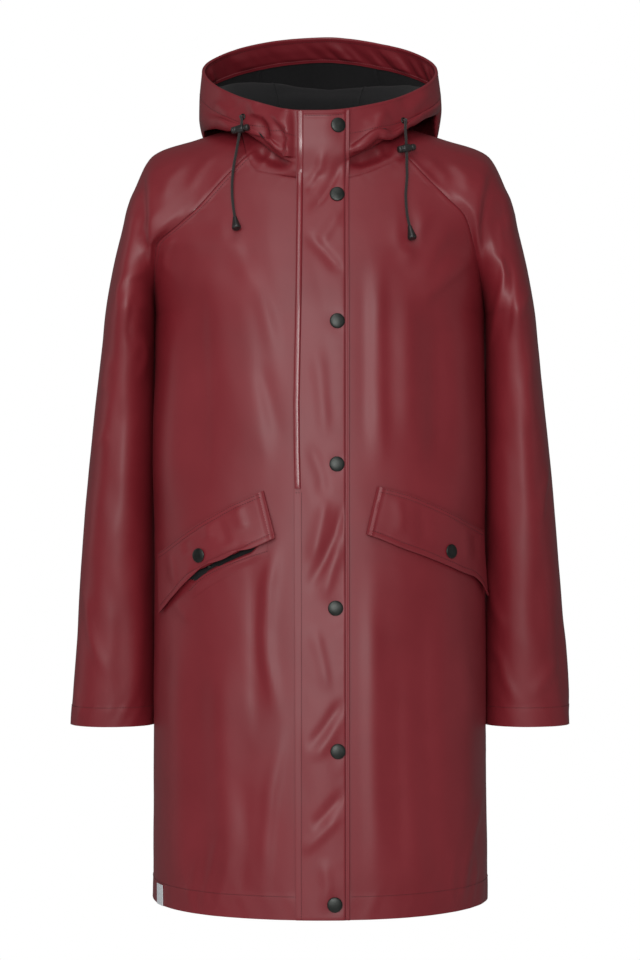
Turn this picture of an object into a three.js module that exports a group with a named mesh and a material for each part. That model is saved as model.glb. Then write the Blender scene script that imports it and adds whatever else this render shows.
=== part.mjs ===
// A hooded raincoat of coated cloth, filled out as it hangs when worn, with its hollow left open.
// Millimetres. X runs across the coat, -Y is its front and +Z is up. The origin is in the middle of
// the neck, on the line of the shoulders. Left and right are as seen by somebody facing the coat.

import * as THREE from "three";

// Driving dimensions
const clothThickness = 1.6;
const seamGap = 0.3;
const seamTrim = 0.23;
const ringFullness = 1.8;
const zipLineX = -19;
const placketLeftX = -26;
const placketRightX = 32;
const placketMiddleX = 6;
const placketThickness = 2.2;
const weltFrom = -25.4;
const weltTo = -18.2;
const weltHeight = 2;
const weltTop = -63;
const weltBottom = -418;
const snapGap = 0.35;
const flapThickness = 2.2;
const flapFoot = 0.9;
const lipFoot = 0.85;
const lipThickness = 1.7;
const snapRadius = 8.5;
const flapSnapRadius = 8;
const studRadius = 3.4;
const eyeletRadius = 3.9;
const eyeletHole = 1.9;
const cordRadius = 1.5;
const cordStraight = 4;
const lockPlay = 0.5;
const lockLength = 22;
const lockWidth = 9;
const lockHeight = 8.5;
const tabColumns = [1.5, 1.92];
const tabThickness = 0.8;
const tabTop = -859;
const hemLevel = -882;

const coatedRed = { color: 0x70282d, roughness: 0.42, metalness: 0 };
const blackPlastic = { color: 0x151514, roughness: 0.35, metalness: 0 };
const blackMetal = { color: 0x2c2e2d, roughness: 0.32, metalness: 0.6 };
const cordBlack = { color: 0x1c1a18, roughness: 0.85, metalness: 0 };
const tabWhite = { color: 0xd9dcdd, roughness: 0.6, metalness: 0 };

// The body below the arms: half width at the side seams, depth of the front and back, place of the side seam
const bodyRings = [
  { level: -882, half: 191.5, front: 176, back: 168, sideY: 0 },
  { level: -800, half: 191, front: 172, back: 164, sideY: 0 },
  { level: -690, half: 190.5, front: 165, back: 157, sideY: 0 },
  { level: -560, half: 190, front: 154, back: 147, sideY: 0 },
  { level: -440, half: 190, front: 145, back: 138, sideY: 0 },
  { level: -330, half: 190, front: 138, back: 130, sideY: 2 },
  { level: -260, half: 189.5, front: 134, back: 125, sideY: 5 },
  { level: -215, half: 189.5, front: 131, back: 122, sideY: 10 },
];

// The body above the arms, up to the neck: its middle lines, and the seams where the sleeves are set in
const yokeRows = [
  {
    level: -175, frontMiddle: [-126, -180], backMiddle: [121, -172], frontPull: 300, backPull: 300,
    leftSeam: [188.5, -38, -175], rightSeam: [182, -38, -175], backSeam: [188, 58, -172],
  },
  {
    level: -142, frontMiddle: [-121, -153], backMiddle: [119, -137], frontPull: 265, backPull: 270,
    leftSeam: [185, -62, -142], rightSeam: [173, -63, -140], backSeam: [183, 84, -135],
  },
  {
    level: -121, frontMiddle: [-117, -133], backMiddle: [116, -108], frontPull: 225, backPull: 235,
    leftSeam: [162, -77, -121], rightSeam: [163, -77, -110], backSeam: [166, 98, -104],
  },
  {
    level: -101, frontMiddle: [-113, -115], backMiddle: [111, -80], frontPull: 185, backPull: 195,
    leftSeam: [139, -83, -101], rightSeam: [143, -83, -89], backSeam: [140, 101, -74],
  },
  {
    level: -70, frontMiddle: [-107, -92], backMiddle: [101, -44], frontPull: 140, backPull: 150,
    leftSeam: [111, -84, -70], rightSeam: [120, -84, -66], backSeam: [106, 91, -38],
  },
  {
    level: -41, frontMiddle: [-100, -69], backMiddle: [86, -8], frontPull: 95, backPull: 95,
    leftSeam: [83, -78, -41], rightSeam: [98, -77, -42], backSeam: [73, 64, -6],
  },
];

// The way each row of cloth runs at its seam: the body's rows arrive there, the sleeve's rows leave it
const seamDirections = [
  { level: -175, front: [45, 150, 0], back: [55, -135, 0], sleeveFront: [60, -150, 0], sleeveBack: [60, 150, 0] },
  { level: -142, front: [120, 88, 0], back: [120, -70, 0], sleeveFront: [82, -28, 10], sleeveBack: [86, 22, 10] },
  { level: -121, front: [128, 56, 8], back: [142, -30, 8], sleeveFront: [104, 8, 30], sleeveBack: [104, -10, 28] },
  { level: -101, front: [112, 40, 18], back: [118, -32, 12], sleeveFront: [86, 28, 60], sleeveBack: [80, -42, 56] },
  { level: -70, front: [86, 32, 20], back: [90, -40, 12], sleeveFront: [44, 46, 74], sleeveBack: [38, -62, 58] },
  { level: -41, front: [64, 30, 24], back: [56, -42, 2], sleeveFront: [14, 52, 66], sleeveBack: [24, -62, 26] },
];

// The sleeves below the arms: far side, near side, middle and half depth, from cuff to underarm
const sleeveRings = [
  { level: -687, outer: 289, inner: 191.8, middleY: 26, depth: 50 },
  { level: -608, outer: 284, inner: 191.6, middleY: 26, depth: 57 },
  { level: -497, outer: 276, inner: 191.4, middleY: 26, depth: 66 },
  { level: -386, outer: 266.5, inner: 191.4, middleY: 26, depth: 74 },
  { level: -300, outer: 257, inner: 191.2, middleY: 24, depth: 79 },
  { level: -250, outer: 251.5, inner: 190.8, middleY: 19, depth: 82 },
  { level: -215, outer: 247, inner: 189.8, middleY: 10, depth: 83 },
];

// The top of each sleeve, from the underarm over the shoulder to the neck
const shoulderRidge = [
  { level: -175, ridge: [238.5, 9, -168], pull: 250 },
  { level: -142, ridge: [227, 7, -120], pull: 205 },
  { level: -121, ridge: [211.5, 4, -69], pull: 170 },
  { level: -101, ridge: [191, 1, -33], pull: 160 },
  { level: -70, ridge: [142, 0, -15.5], pull: 135 },
  { level: -41, ridge: [92, 0, 0], pull: 105 },
];

// Loops of the hood, from its seam at the neck, up and over its slack fold, down to the bottom of the
// pouch behind the neck and up again to its edge
const hoodLoops = [
  { front: [-101, -62], side: [98, 5, 22], back: [84, 36], slope: 0.1, liftRight: 0, around: 1.62 },
  { front: [-102, -56], side: [115, 12, 48], back: [97, 60], slope: 0.1, liftRight: 0, around: 1.62 },
  { front: [-103, -51], side: [127, 15, 20], back: [117, 20], slope: 0.1, liftRight: 5, around: 1.62 },
  { front: [-104, -45], side: [134, 17, -4], back: [152, -96], slope: 0.1, liftRight: 12, around: 1.62 },
  { front: [-105, -39], side: [140, 18, 12], back: [182, 0], slope: 0.1, liftRight: 8, around: 1.6 },
  { front: [-106, -33], side: [139.5, 19, 34], back: [156, 90], slope: 0.3, liftRight: 2, around: 1.5 },
  { front: [-105, 4], side: [136, 20, 69], back: [130, 125], slope: 0.5, liftRight: 0, around: 1.42 },
];
const hoodRows = [0, 0.5, 1, 1.5, 1.8, 2.2, 2.6, 3, 3.5, 3.85, 4.15, 4.5, 5, 5.5, 6, 6.33, 6.67, 7];
const facingRows = [6, 6.33, 6.67, 7];

// Soft folds in the cloth: a ridge or, with a negative height, a trough, from one place to another.
// On the body the places are across and up, and on a sleeve round (-1 front seam, 0 top, 1 back seam) and up.
const frontFolds = [
  { from: [-118, -250], to: [-112, -820], width: 30, height: -5 },
  { from: [-62, -230], to: [-78, -420], width: 20, height: 4 },
  { from: [-160, -560], to: [-150, -860], width: 22, height: 3.5 },
  { from: [-52, -560], to: [-66, -840], width: 16, height: 4 },
  { from: [74, -180], to: [72, -560], width: 22, height: 4 },
  { from: [128, -260], to: [132, -800], width: 28, height: -5 },
  { from: [70, -640], to: [86, -860], width: 24, height: 4 },
  { from: [166, -600], to: [164, -860], width: 18, height: 3 },
];
const backFolds = [
  { from: [-120, -220], to: [-128, -860], width: 26, height: 5 },
  { from: [-62, -260], to: [-68, -860], width: 26, height: -5 },
  { from: [4, -200], to: [0, -860], width: 30, height: 5 },
  { from: [66, -280], to: [72, -860], width: 26, height: -5 },
  { from: [124, -230], to: [130, -860], width: 26, height: 5 },
];
const sleeveFolds = [
  { from: [-0.55, -190], to: [-0.25, -300], width: 26, height: -5 },
  { from: [-0.7, -330], to: [-0.35, -420], width: 24, height: 4 },
  { from: [-0.3, -400], to: [-0.6, -500], width: 22, height: -4 },
  { from: [-0.2, -520], to: [-0.5, -620], width: 22, height: 4 },
  { from: [0.6, -230], to: [0.3, -340], width: 26, height: -5 },
  { from: [0.35, -360], to: [0.65, -460], width: 24, height: 4 },
  { from: [0.7, -470], to: [0.35, -560], width: 22, height: -4 },
];
const sleeveFoldWidthAround = 150;

// The cords of the hood: where on the hood each comes out, its way down from there, and the lock on it
const cords = [
  {
    side: "left", row: 15.4, column: 45.9, lockLevel: -13, lockAcross: [0.9, -0.46, 0.14],
    route: [
      [-87.4, -80, -3], [-89, -82.4, -13], [-91, -82, -24], [-93.5, -81, -38], [-96.3, -85, -53.6],
      [-97.8, -90.5, -67.6], [-98, -94.5, -81.5], [-97.4, -97.5, -93], [-96, -101, -104.5], [-94.6, -104.8, -113],
    ],
  },
  {
    side: "right", row: 14.7, column: 9.5, lockLevel: -34, lockAcross: [0.9, 0.42, 0.2],
    route: [
      [95.6, -74.5, -7], [96.1, -77.5, -20], [96.7, -80, -34], [96.9, -84, -45], [96.8, -88, -54],
      [97, -92.5, -64.5], [96, -97, -78.5], [95.3, -99.5, -87.6], [95.7, -102.5, -99], [96.8, -105.2, -111],
      [99.4, -109.5, -124],
    ],
  },
];

// Snaps down the placket
const snaps = [
  { x: 20, level: -11 },
  { x: 19, level: -88 },
  { x: 19, level: -230 },
  { x: 18.5, level: -387.5 },
  { x: 17, level: -545 },
  { x: 19.5, level: -700 },
  { x: 16, level: -865 },
];

// The two slanted pocket flaps, from the end near the placket out to the side seam: upper and lower edge as
// across and up, and how far the lower edge stands off the coat
const flapLeft = [
  { upper: [-62, -417], lower: [-48, -469], lift: 3 },
  { upper: [-80, -424.5], lower: [-66, -477.5], lift: 5 },
  { upper: [-98, -433], lower: [-84, -485], lift: 7 },
  { upper: [-116, -443], lower: [-101, -491], lift: 8 },
  { upper: [-133, -453], lower: [-119, -500], lift: 7 },
  { upper: [-149, -464], lower: [-137, -512], lift: 5 },
  { upper: [-164, -475], lower: [-154, -528], lift: 3.5 },
  { upper: [-177, -485], lower: [-170, -545], lift: 2.5 },
  { upper: [-187, -491], lower: [-183, -557], lift: 2 },
];
const flapRight = [
  { upper: [63, -412], lower: [50, -465], lift: 2 },
  { upper: [80, -416], lower: [69, -472], lift: 2 },
  { upper: [97, -421], lower: [88, -480], lift: 2 },
  { upper: [113, -427], lower: [107, -487], lift: 2 },
  { upper: [129, -434], lower: [126, -494.5], lift: 2 },
  { upper: [144, -441], lower: [143, -502], lift: 2 },
  { upper: [158, -448.5], lower: [158, -509], lift: 2 },
  { upper: [169, -454.5], lower: [170, -514], lift: 2.4 },
  { upper: [178, -459], lower: [179, -523], lift: 2.8 },
  { upper: [185, -463], lower: [186, -537], lift: 3 },
];
const flapShares = [1, 0.66, 0.33, 0];
const flapSnaps = { left: { column: 3.6, row: 1 }, right: { column: 5.1, row: 0.9 } };
// The lip of the left pocket's mouth, which shows below its flap, and the stud that the flap's snap holds
const pocketLip = [
  { upper: [-60, -468], lower: [-58, -479] },
  { upper: [-84, -480], lower: [-81, -491] },
  { upper: [-106, -489], lower: [-103, -500] },
  { upper: [-128, -500], lower: [-124, -511] },
  { upper: [-147, -516], lower: [-142, -526] },
];
const studLeft = { x: -124, level: -488 };

const bodyLevels = [
  -882, -855, -815, -770, -725, -680, -635, -590, -545, -500, -460, -425, -390, -350, -310, -270, -240, -215,
];
const yokeLevels = [-195, -175, -158, -142, -131, -121, -111, -101, -85, -70, -55, -41];
const sleeveLevels = [-687, -660, -620, -580, -540, -500, -460, -420, -380, -340, -300, -265, -238, -215];

const frontSteps = [0.12, 0.25, 0.38, 0.5, 0.61, 0.71, 0.84, 1];
const backSteps = [0, 0.18, 0.36, 0.54, 0.7, 0.85, 1];
const sleeveSteps = [-1, -0.82, -0.64, -0.46, -0.28, -0.12, 0, 0.12, 0.28, 0.46, 0.64, 0.82, 1];

const vec = (x, y, z) => new THREE.Vector3(x, y, z);
const sign = { left: -1, right: 1 };

// A cubic through a table's values that never overshoots them.
function curveThrough(knots, values) {
  const gaps = knots.slice(1).map((knot, i) => knot - knots[i]);
  const rises = gaps.map((gap, i) => (values[i + 1] - values[i]) / gap);
  const slopes = values.map((_, i) => {
    if (i === 0) return rises[0];
    if (i === rises.length) return rises[i - 1];
    if (rises[i - 1] * rises[i] <= 0) return 0;
    const before = 2 * gaps[i] + gaps[i - 1];
    const after = gaps[i] + 2 * gaps[i - 1];
    return (before + after) / (before / rises[i - 1] + after / rises[i]);
  });
  return (x) => {
    let i = 0;
    while (i < gaps.length - 1 && x > knots[i + 1]) i += 1;
    const t = (x - knots[i]) / gaps[i];
    const a = (1 + 2 * t) * (1 - t) ** 2 * values[i] + t * (1 - t) ** 2 * gaps[i] * slopes[i];
    const b = t * t * (3 - 2 * t) * values[i + 1] + t * t * (t - 1) * gaps[i] * slopes[i + 1];
    return a + b;
  };
}

// The same for points: a smooth path with one point at each knot.
function pathThrough(knots, points) {
  const [x, y, z] = ["x", "y", "z"].map((axis) => curveThrough(knots, points.map((p) => p[axis])));
  return (knot) => vec(x(knot), y(knot), z(knot));
}

// A curve from one point to another that leaves and arrives along the given directions.
function sweep(start, leaving, end, arriving, t) {
  const point = start.clone().multiplyScalar((1 + 2 * t) * (1 - t) ** 2);
  point.addScaledVector(leaving, t * (1 - t) ** 2);
  point.addScaledVector(end, t * t * (3 - 2 * t));
  return point.addScaledVector(arriving, t * t * (t - 1));
}

const smoothStep = (low, high, x) => THREE.MathUtils.smoothstep(x, low, high);

// How far the folds lift the cloth at a place. across tells how many millimetres one unit of the first column is.
function relief(folds, place, across = 1) {
  const at = new THREE.Vector2(place[0] * across, place[1]);
  let height = 0;
  for (const fold of folds) {
    const from = new THREE.Vector2(fold.from[0] * across, fold.from[1]);
    const along = new THREE.Vector2(fold.to[0] * across, fold.to[1]).sub(from);
    const share = THREE.MathUtils.clamp(at.clone().sub(from).dot(along) / along.lengthSq(), 0, 1);
    const away = at.distanceTo(from.addScaledVector(along, share));
    height += fold.height * Math.exp(-((away / fold.width) ** 2));
  }
  return height;
}

// The outward normal of a surface whose u runs to the right and v up, as seen from outside.
function normalOf(surface, u, v, stepU, stepV) {
  const acrossIt = surface(u + stepU, v).sub(surface(u - stepU, v));
  const upIt = surface(u, v + stepV).sub(surface(u, v - stepV));
  return acrossIt.cross(upIt).normalize();
}

// A seam that runs up the rings to the underarm, and from there along the sleeve to the neck
function seamTrack(rings, fromRing, fromYoke) {
  const underarm = rings[rings.length - 1];
  const below = pathThrough(rings.map((ring) => ring.level), rings.map(fromRing));
  const levels = [underarm, ...yokeRows].map((row) => row.level);
  const above = pathThrough(levels, [fromRing(underarm), ...yokeRows.map(fromYoke)]);
  return (level) => (level > underarm.level ? above(level) : below(level));
}

// Rows of the body: one table of middle lines, seams and directions for both halves of the front and the back
function bodyTracks(side) {
  const levels = [...bodyRings, ...yokeRows].map((row) => row.level);
  const seamName = side === "left" ? "leftSeam" : "rightSeam";
  const track = (fromRing, fromYoke) =>
    pathThrough(levels, [...bodyRings.map(fromRing), ...yokeRows.map(fromYoke)]);
  return {
    frontMiddle: track((r) => vec(0, -r.front, r.level), (y) => vec(0, ...y.frontMiddle)),
    frontPull: track((r) => vec(ringFullness * r.half, 0, 0), (y) => vec(y.frontPull, 0, 0)),
    frontSeam: seamTrack(bodyRings, (r) => vec(r.half, r.sideY, r.level), (y) => vec(...y[seamName])),
    frontArrive: track(
      (r) => vec(0, ringFullness * (r.front + r.sideY), 0),
      (_, i) => vec(...seamDirections[i].front),
    ),
    backMiddle: track((r) => vec(0, r.back, r.level), (y) => vec(0, ...y.backMiddle)),
    backPull: track((r) => vec(ringFullness * r.half, 0, 0), (y) => vec(y.backPull, 0, 0)),
    backSeam: seamTrack(bodyRings, (r) => vec(r.half, r.sideY, r.level), (y) => vec(...y.backSeam)),
    backArrive: track(
      (r) => vec(0, -ringFullness * (r.back - r.sideY), 0),
      (_, i) => vec(...seamDirections[i].back),
    ),
  };
}
const body = { left: bodyTracks("left"), right: bodyTracks("right") };

// A bare point of the body's front or back, u from 0 on the middle line to 1 on the seam, for x > 0
function bareBody(face, side, u, level) {
  const t = body[side];
  return sweep(t[face + "Middle"](level), t[face + "Pull"](level), t[face + "Seam"](level), t[face + "Arrive"](level), u);
}

const foldFade = (u, level) => (1 - smoothStep(0.82, 0.99, u)) * (1 - smoothStep(-170, -90, level));

// The finished surface of one half of the body, with its folds, on its own side of the coat
function bodySurface(face, side) {
  const mirror = vec(sign[side], 1, 1);
  const bare = (u, level) => bareBody(face, side, u, level).multiply(mirror);
  const outward = face === "front" ? sign[side] : -sign[side];
  const folds = face === "front" ? frontFolds : backFolds;
  return (u, level) => {
    const point = bare(u, level);
    const height = relief(folds, [point.x, point.z]) * foldFade(Math.abs(u), level);
    const normal = normalOf(bare, THREE.MathUtils.clamp(u, 0.001, 0.999), level, 0.0008, 0.4);
    return point.addScaledVector(normal, height * outward);
  };
}
const surfaces = {
  front: { left: bodySurface("front", "left"), right: bodySurface("front", "right") },
  back: { left: bodySurface("back", "left"), right: bodySurface("back", "right") },
};

// The u at which a row of the front is x from the middle line
function frontAcross(side, level, x) {
  let [low, high] = [0, 1];
  for (let i = 0; i < 30; i += 1) {
    const middle = (low + high) / 2;
    if (bareBody("front", side, middle, level).x < Math.abs(x)) low = middle;
    else high = middle;
  }
  return (low + high) / 2;
}

// A point of the front and its normal, from how far across it is and its level
function frontSpot(x, level) {
  const side = x < 0 ? "left" : "right";
  const u = Math.max(frontAcross(side, level, x), 0.002);
  const surface = surfaces.front[side];
  const normal = normalOf(surface, u, level, 0.001, 0.5).multiplyScalar(sign[side]);
  return { point: surface(u, level), normal };
}

// A grid of { point, normal } becomes a closed wall between two distances from it. A distance is a number,
// or a function of the row and the column.
function wallBetween(grid, inside, outside) {
  const rows = grid.length;
  const columns = grid[0].length;
  const positions = [];
  for (const distance of [outside, inside])
    grid.forEach((row, i) =>
      row.forEach((spot, j) => {
        const away = typeof distance === "number" ? distance : distance(i, j);
        positions.push(...spot.point.clone().addScaledVector(spot.normal, away).toArray());
      }),
    );
  const outer = (i, j) => i * columns + j;
  const inner = (i, j) => rows * columns + outer(i, j);
  const faces = [];
  const quad = (a, b, c, d) => faces.push(a, b, c, a, c, d);
  const span = (a, b) => a.point.distanceTo(b.point);
  for (let i = 0; i < rows - 1; i += 1)
    for (let j = 0; j < columns - 1; j += 1) {
      const corners = [[i, j], [i, j + 1], [i + 1, j + 1], [i + 1, j]];
      const [a, b, c, d] = corners.map(([row, column]) => grid[row][column]);
      if (span(a, c) > span(b, d)) corners.push(corners.shift());
      quad(...corners.map(([row, column]) => outer(row, column)));
      const [e, f, g, h] = corners.map(([row, column]) => inner(row, column));
      faces.push(e, g, f, e, h, g);
    }
  for (let j = 0; j < columns - 1; j += 1) {
    quad(inner(0, j), inner(0, j + 1), outer(0, j + 1), outer(0, j));
    quad(outer(rows - 1, j), outer(rows - 1, j + 1), inner(rows - 1, j + 1), inner(rows - 1, j));
  }
  for (let i = 0; i < rows - 1; i += 1) {
    quad(inner(i, 0), outer(i, 0), outer(i + 1, 0), inner(i + 1, 0));
    quad(outer(i, columns - 1), inner(i, columns - 1), inner(i + 1, columns - 1), outer(i + 1, columns - 1));
  }
  const geometry = new THREE.BufferGeometry();
  geometry.setAttribute("position", new THREE.Float32BufferAttribute(positions, 3));
  geometry.setIndex(faces);
  return geometry;
}

// Trims the edges of a grid that meet another piece by half a seam gap
function trimmed(grid, { bottom = false, top = false, first = false, last = false }) {
  const shift = (spot, towards) => {
    const way = towards.point.clone().sub(spot.point).normalize();
    return { point: spot.point.clone().addScaledVector(way, seamTrim), normal: spot.normal };
  };
  let rows = grid.map((row) => row.slice());
  const end = rows.length - 1;
  if (bottom) rows[0] = rows[0].map((spot, j) => shift(spot, grid[1][j]));
  if (top) rows[end] = rows[end].map((spot, j) => shift(spot, grid[end - 1][j]));
  if (first) rows = rows.map((row) => [shift(row[0], row[1]), ...row.slice(1)]);
  if (last) rows = rows.map((row) => [...row.slice(0, -1), shift(row[row.length - 1], row[row.length - 2])]);
  return rows;
}

const levelsOfBody = [...bodyLevels, ...yokeLevels];

// Columns of the front: at the placket by distance across, and beyond it by share of the way to the seam
function frontColumns(side, level) {
  const edge = side === "left" ? placketLeftX : placketRightX;
  const start = frontAcross(side, level, edge);
  const fixed = side === "left" ? [zipLineX, placketLeftX] : [zipLineX, placketMiddleX, placketRightX];
  const near = fixed.map((x) => frontSpot(x, level));
  const surface = surfaces.front[side];
  const far = frontSteps.map((share) => {
    const u = Math.min(start + (1 - start) * share, 0.9995);
    return { point: surface(share === 1 ? 1 : u, level), normal: normalOf(surface, u, level, 0.0005, 0.5) };
  });
  far.forEach((spot) => spot.normal.multiplyScalar(sign[side]));
  const row = [...near, ...far];
  return side === "left" ? row.reverse() : row;
}

function frontGrid(side) {
  return levelsOfBody.map((level) => frontColumns(side, level));
}

function backGrid() {
  return levelsOfBody.map((level) => {
    const half = (side) =>
      backSteps.map((u) => {
        const surface = surfaces.back[side];
        const safe = THREE.MathUtils.clamp(u, 0.0006, 0.9994);
        const normal = normalOf(surface, safe, level, 0.0005, 0.5).multiplyScalar(-sign[side]);
        return { point: surface(u, level), normal };
      });
    return [...half("right").reverse(), ...half("left").slice(1)];
  });
}

// Rows of a sleeve: closed rings below the arm, then open rows from the front seam over the shoulder to the back seam
function sleeveTracks(side) {
  const levels = [...sleeveRings, ...shoulderRidge].map((row) => row.level);
  const seamName = side === "left" ? "leftSeam" : "rightSeam";
  const clear = vec(seamGap, 0, 0);
  const track = (fromRing, fromRidge) =>
    pathThrough(levels, [...sleeveRings.map(fromRing), ...shoulderRidge.map(fromRidge)]);
  const near = (r) => vec(r.inner, r.middleY, r.level);
  return {
    front: seamTrack(sleeveRings, near, (row) => vec(...row[seamName]).add(clear)),
    frontLeave: track((r) => vec(0, -4 * r.depth, 0), (_, i) => vec(...seamDirections[i].sleeveFront)),
    top: track((r) => vec(r.outer, r.middleY, r.level), (s) => vec(...s.ridge)),
    topPass: track((r) => vec(0, 4 * r.depth, 0), (s) => vec(0, s.pull, 0)),
    back: seamTrack(sleeveRings, near, (row) => vec(...row.backSeam).add(clear)),
    backLeave: track((r) => vec(0, 4 * r.depth, 0), (_, i) => vec(...seamDirections[i].sleeveBack)),
  };
}

// A sleeve's surface, w from -1 at the front seam through 0 on the ridge to 1 at the back seam
function sleeveSurface(side) {
  const t = sleeveTracks(side);
  const mirror = vec(sign[side], 1, 1);
  const bare = (w, level) => {
    const pass = t.topPass(level);
    const point =
      w < 0
        ? sweep(t.front(level), t.frontLeave(level), t.top(level), pass, 1 + w)
        : sweep(t.top(level), pass, t.back(level), t.backLeave(level).negate(), w);
    return point.multiply(mirror);
  };
  return (w, level) => {
    const fade = (1 - smoothStep(0.75, 0.98, Math.abs(w))) * (1 - smoothStep(-190, -120, level));
    const height = relief(sleeveFolds, [w, level], sleeveFoldWidthAround) * fade;
    const safe = THREE.MathUtils.clamp(w, -0.998, 0.998);
    return bare(w, level).addScaledVector(normalOf(bare, safe, level, 0.0015, 0.4), height * sign[side]);
  };
}

const levelsOfSleeve = [...sleeveLevels, ...yokeLevels];

function sleeveGrid(side) {
  const surface = sleeveSurface(side);
  const columns = side === "right" ? sleeveSteps : sleeveSteps.slice().reverse();
  return levelsOfSleeve.map((level) =>
    columns.map((w) => {
      const safe = THREE.MathUtils.clamp(w, -0.9985, 0.9985);
      const normal = normalOf(surface, safe, level, 0.001, 0.5).multiplyScalar(sign[side]);
      return { point: surface(w, level), normal };
    }),
  );
}

// Spots of different pieces that lie on one seam take one normal, so that their walls meet in a mitre
function agree(spots) {
  const shared = spots.reduce((sum, spot) => sum.add(spot.normal), vec(0, 0, 0)).normalize();
  spots.forEach((spot) => spot.normal.copy(shared));
}

function agreeAlong(grid, column, other, otherColumn, rows) {
  for (const [row, otherRow] of rows) agree([grid[row].at(column), other[otherRow].at(otherColumn)]);
}

// The neck, all round: the top edges of the panels and sleeves, from the zip over the right side back to
// the zip. Each entry lists the spots that meet there.
function neckLine(grids) {
  const order = [grids.frontRight, grids.sleeveRight, grids.back, grids.sleeveLeft, grids.frontLeft];
  const line = [];
  for (const grid of order)
    grid[grid.length - 1].forEach((spot, i) => {
      if (i === 0 && line.length > 0) line[line.length - 1].push(spot);
      else line.push([spot]);
    });
  return line;
}

// Shares of the way round from the front to the ridge, and from the ridge to the back, for each point of the neck
function sharesRound(neck, ridgeIndexes, backIndex) {
  const lengths = [0];
  for (let i = 1; i < neck.length; i += 1) lengths.push(lengths[i - 1] + neck[i].distanceTo(neck[i - 1]));
  const frontRight = neck.findIndex((p) => p.x > 0);
  const marks = [frontRight, ridgeIndexes[0], backIndex, ridgeIndexes[1], neck.length - 1];
  return neck.map((point, i) => {
    const quarter = marks.slice(1, 4).filter((mark) => i > mark).length;
    const [from, to] = [lengths[marks[quarter]], lengths[marks[quarter + 1]]];
    return { quarter, share: THREE.MathUtils.clamp((lengths[i] - from) / (to - from), 0, 1) };
  });
}

// One loop of the hood as four quarter curves, each sampled so that a share of its length can be found
function loopQuarters(loop) {
  const front = vec(0, ...loop.front);
  const back = vec(0, ...loop.back);
  const quarter = (side, toBack) => {
    const lift = side === "right" ? loop.liftRight : 0;
    const flank = vec(loop.side[0], loop.side[1], loop.side[2] + lift);
    const middle = toBack ? back : front;
    const reach = Math.abs(middle.y - flank.y) * loop.around;
    const pass = vec(0, reach, reach * loop.slope);
    const pull = vec(loop.side[0] * loop.around, 0, 0);
    const curve = (t) =>
      toBack
        ? sweep(flank, pass, back, pull.clone().negate(), t)
        : sweep(front, pull, flank, pass, t);
    const samples = Array.from({ length: 41 }, (_, i) => curve(i / 40).multiply(vec(sign[side], 1, 1)));
    return side === "right" ? samples : samples.reverse();
  };
  return [quarter("right", false), quarter("right", true), quarter("left", true), quarter("left", false)];
}

function pointAtShare(samples, share) {
  const lengths = [0];
  for (let i = 1; i < samples.length; i += 1) lengths.push(lengths[i - 1] + samples[i].distanceTo(samples[i - 1]));
  const wanted = share * lengths[lengths.length - 1];
  let i = 1;
  while (i < lengths.length - 1 && lengths[i] < wanted) i += 1;
  return samples[i - 1].clone().lerp(samples[i], (wanted - lengths[i - 1]) / (lengths[i] - lengths[i - 1]));
}

// The hood as a grid: a column from each point of the neck through all the loops to the edge
function hoodGrid(neck, ridgeIndexes, backIndex) {
  const shares = sharesRound(neck, ridgeIndexes, backIndex);
  const loops = hoodLoops.map(loopQuarters);
  const columns = neck.map((start, j) => {
    const { quarter, share } = shares[j];
    const points = loops.map((quarters) => {
      const point = pointAtShare(quarters[quarter], share);
      const free = start.y < 0 ? smoothStep(placketRightX, 80, Math.abs(start.x)) : 1;
      point.x = start.x + (point.x - start.x) * free;
      return point;
    });
    return pathThrough([0, 1, 2, 3, 4, 5, 6, 7], [start, ...points]);
  });
  const last = columns.length - 1;
  return hoodRows.map((t) =>
    columns.map((column, j) => {
      const acrossIt = columns[Math.min(j + 1, last)](t).sub(columns[Math.max(j - 1, 0)](t));
      const upIt = column(Math.min(t + 0.02, 7)).sub(column(Math.max(t - 0.02, 0)));
      return { point: column(t), normal: acrossIt.cross(upIt).normalize() };
    }),
  );
}

// The grid moved out along its normals
function liftedBy(grid, rise) {
  return grid.map((row, i) =>
    row.map((spot, j) => ({ point: away(spot, typeof rise === "number" ? rise : rise(i, j)), normal: spot.normal })),
  );
}

// A spot on the faces of a grid, between its rows and columns
function spotOn(grid, row, column) {
  const [i, j] = [Math.floor(row), Math.floor(column)];
  const [a, b, c, d] = [grid[i][j], grid[i][j + 1], grid[i + 1][j], grid[i + 1][j + 1]].map((spot) => spot.point);
  const lower = a.clone().lerp(b, column - j);
  const upper = c.clone().lerp(d, column - j);
  const normal = d.clone().sub(a).cross(c.clone().sub(b)).normalize();
  return { point: lower.lerp(upper, row - i), normal };
}

// The row, with its fraction, at which a column of a grid passes a level
function rowAt(grid, level, column) {
  const heights = grid.map((row) => row[column].point.z);
  const i = heights.findIndex((height, k) => height <= level && heights[k + 1] > level);
  return i + (level - heights[i]) / (heights[i + 1] - heights[i]);
}

const away = (spot, distance) => spot.point.clone().addScaledVector(spot.normal, distance);

// A shape turned about its own axis, stood on a place with that axis along a direction
function turned(profile, sides, position, direction) {
  const geometry = new THREE.LatheGeometry(profile.map(([r, h]) => new THREE.Vector2(r, h)), sides);
  return { geometry, position, turn: new THREE.Quaternion().setFromUnitVectors(vec(0, 1, 0), direction) };
}

const onPlace = (spot, standOff) => [away(spot, standOff), spot.normal];

// A domed metal cap, its flat back on the place it is set
function snapCap(radius, spot, standOff) {
  const profile = [
    [0, 0],
    [radius * 0.93, 0],
    [radius, radius * 0.1],
    [radius * 0.88, radius * 0.22],
    [radius * 0.5, radius * 0.31],
    [0, radius * 0.34],
  ];
  return turned(profile, 18, away(spot, standOff), spot.normal);
}

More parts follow.
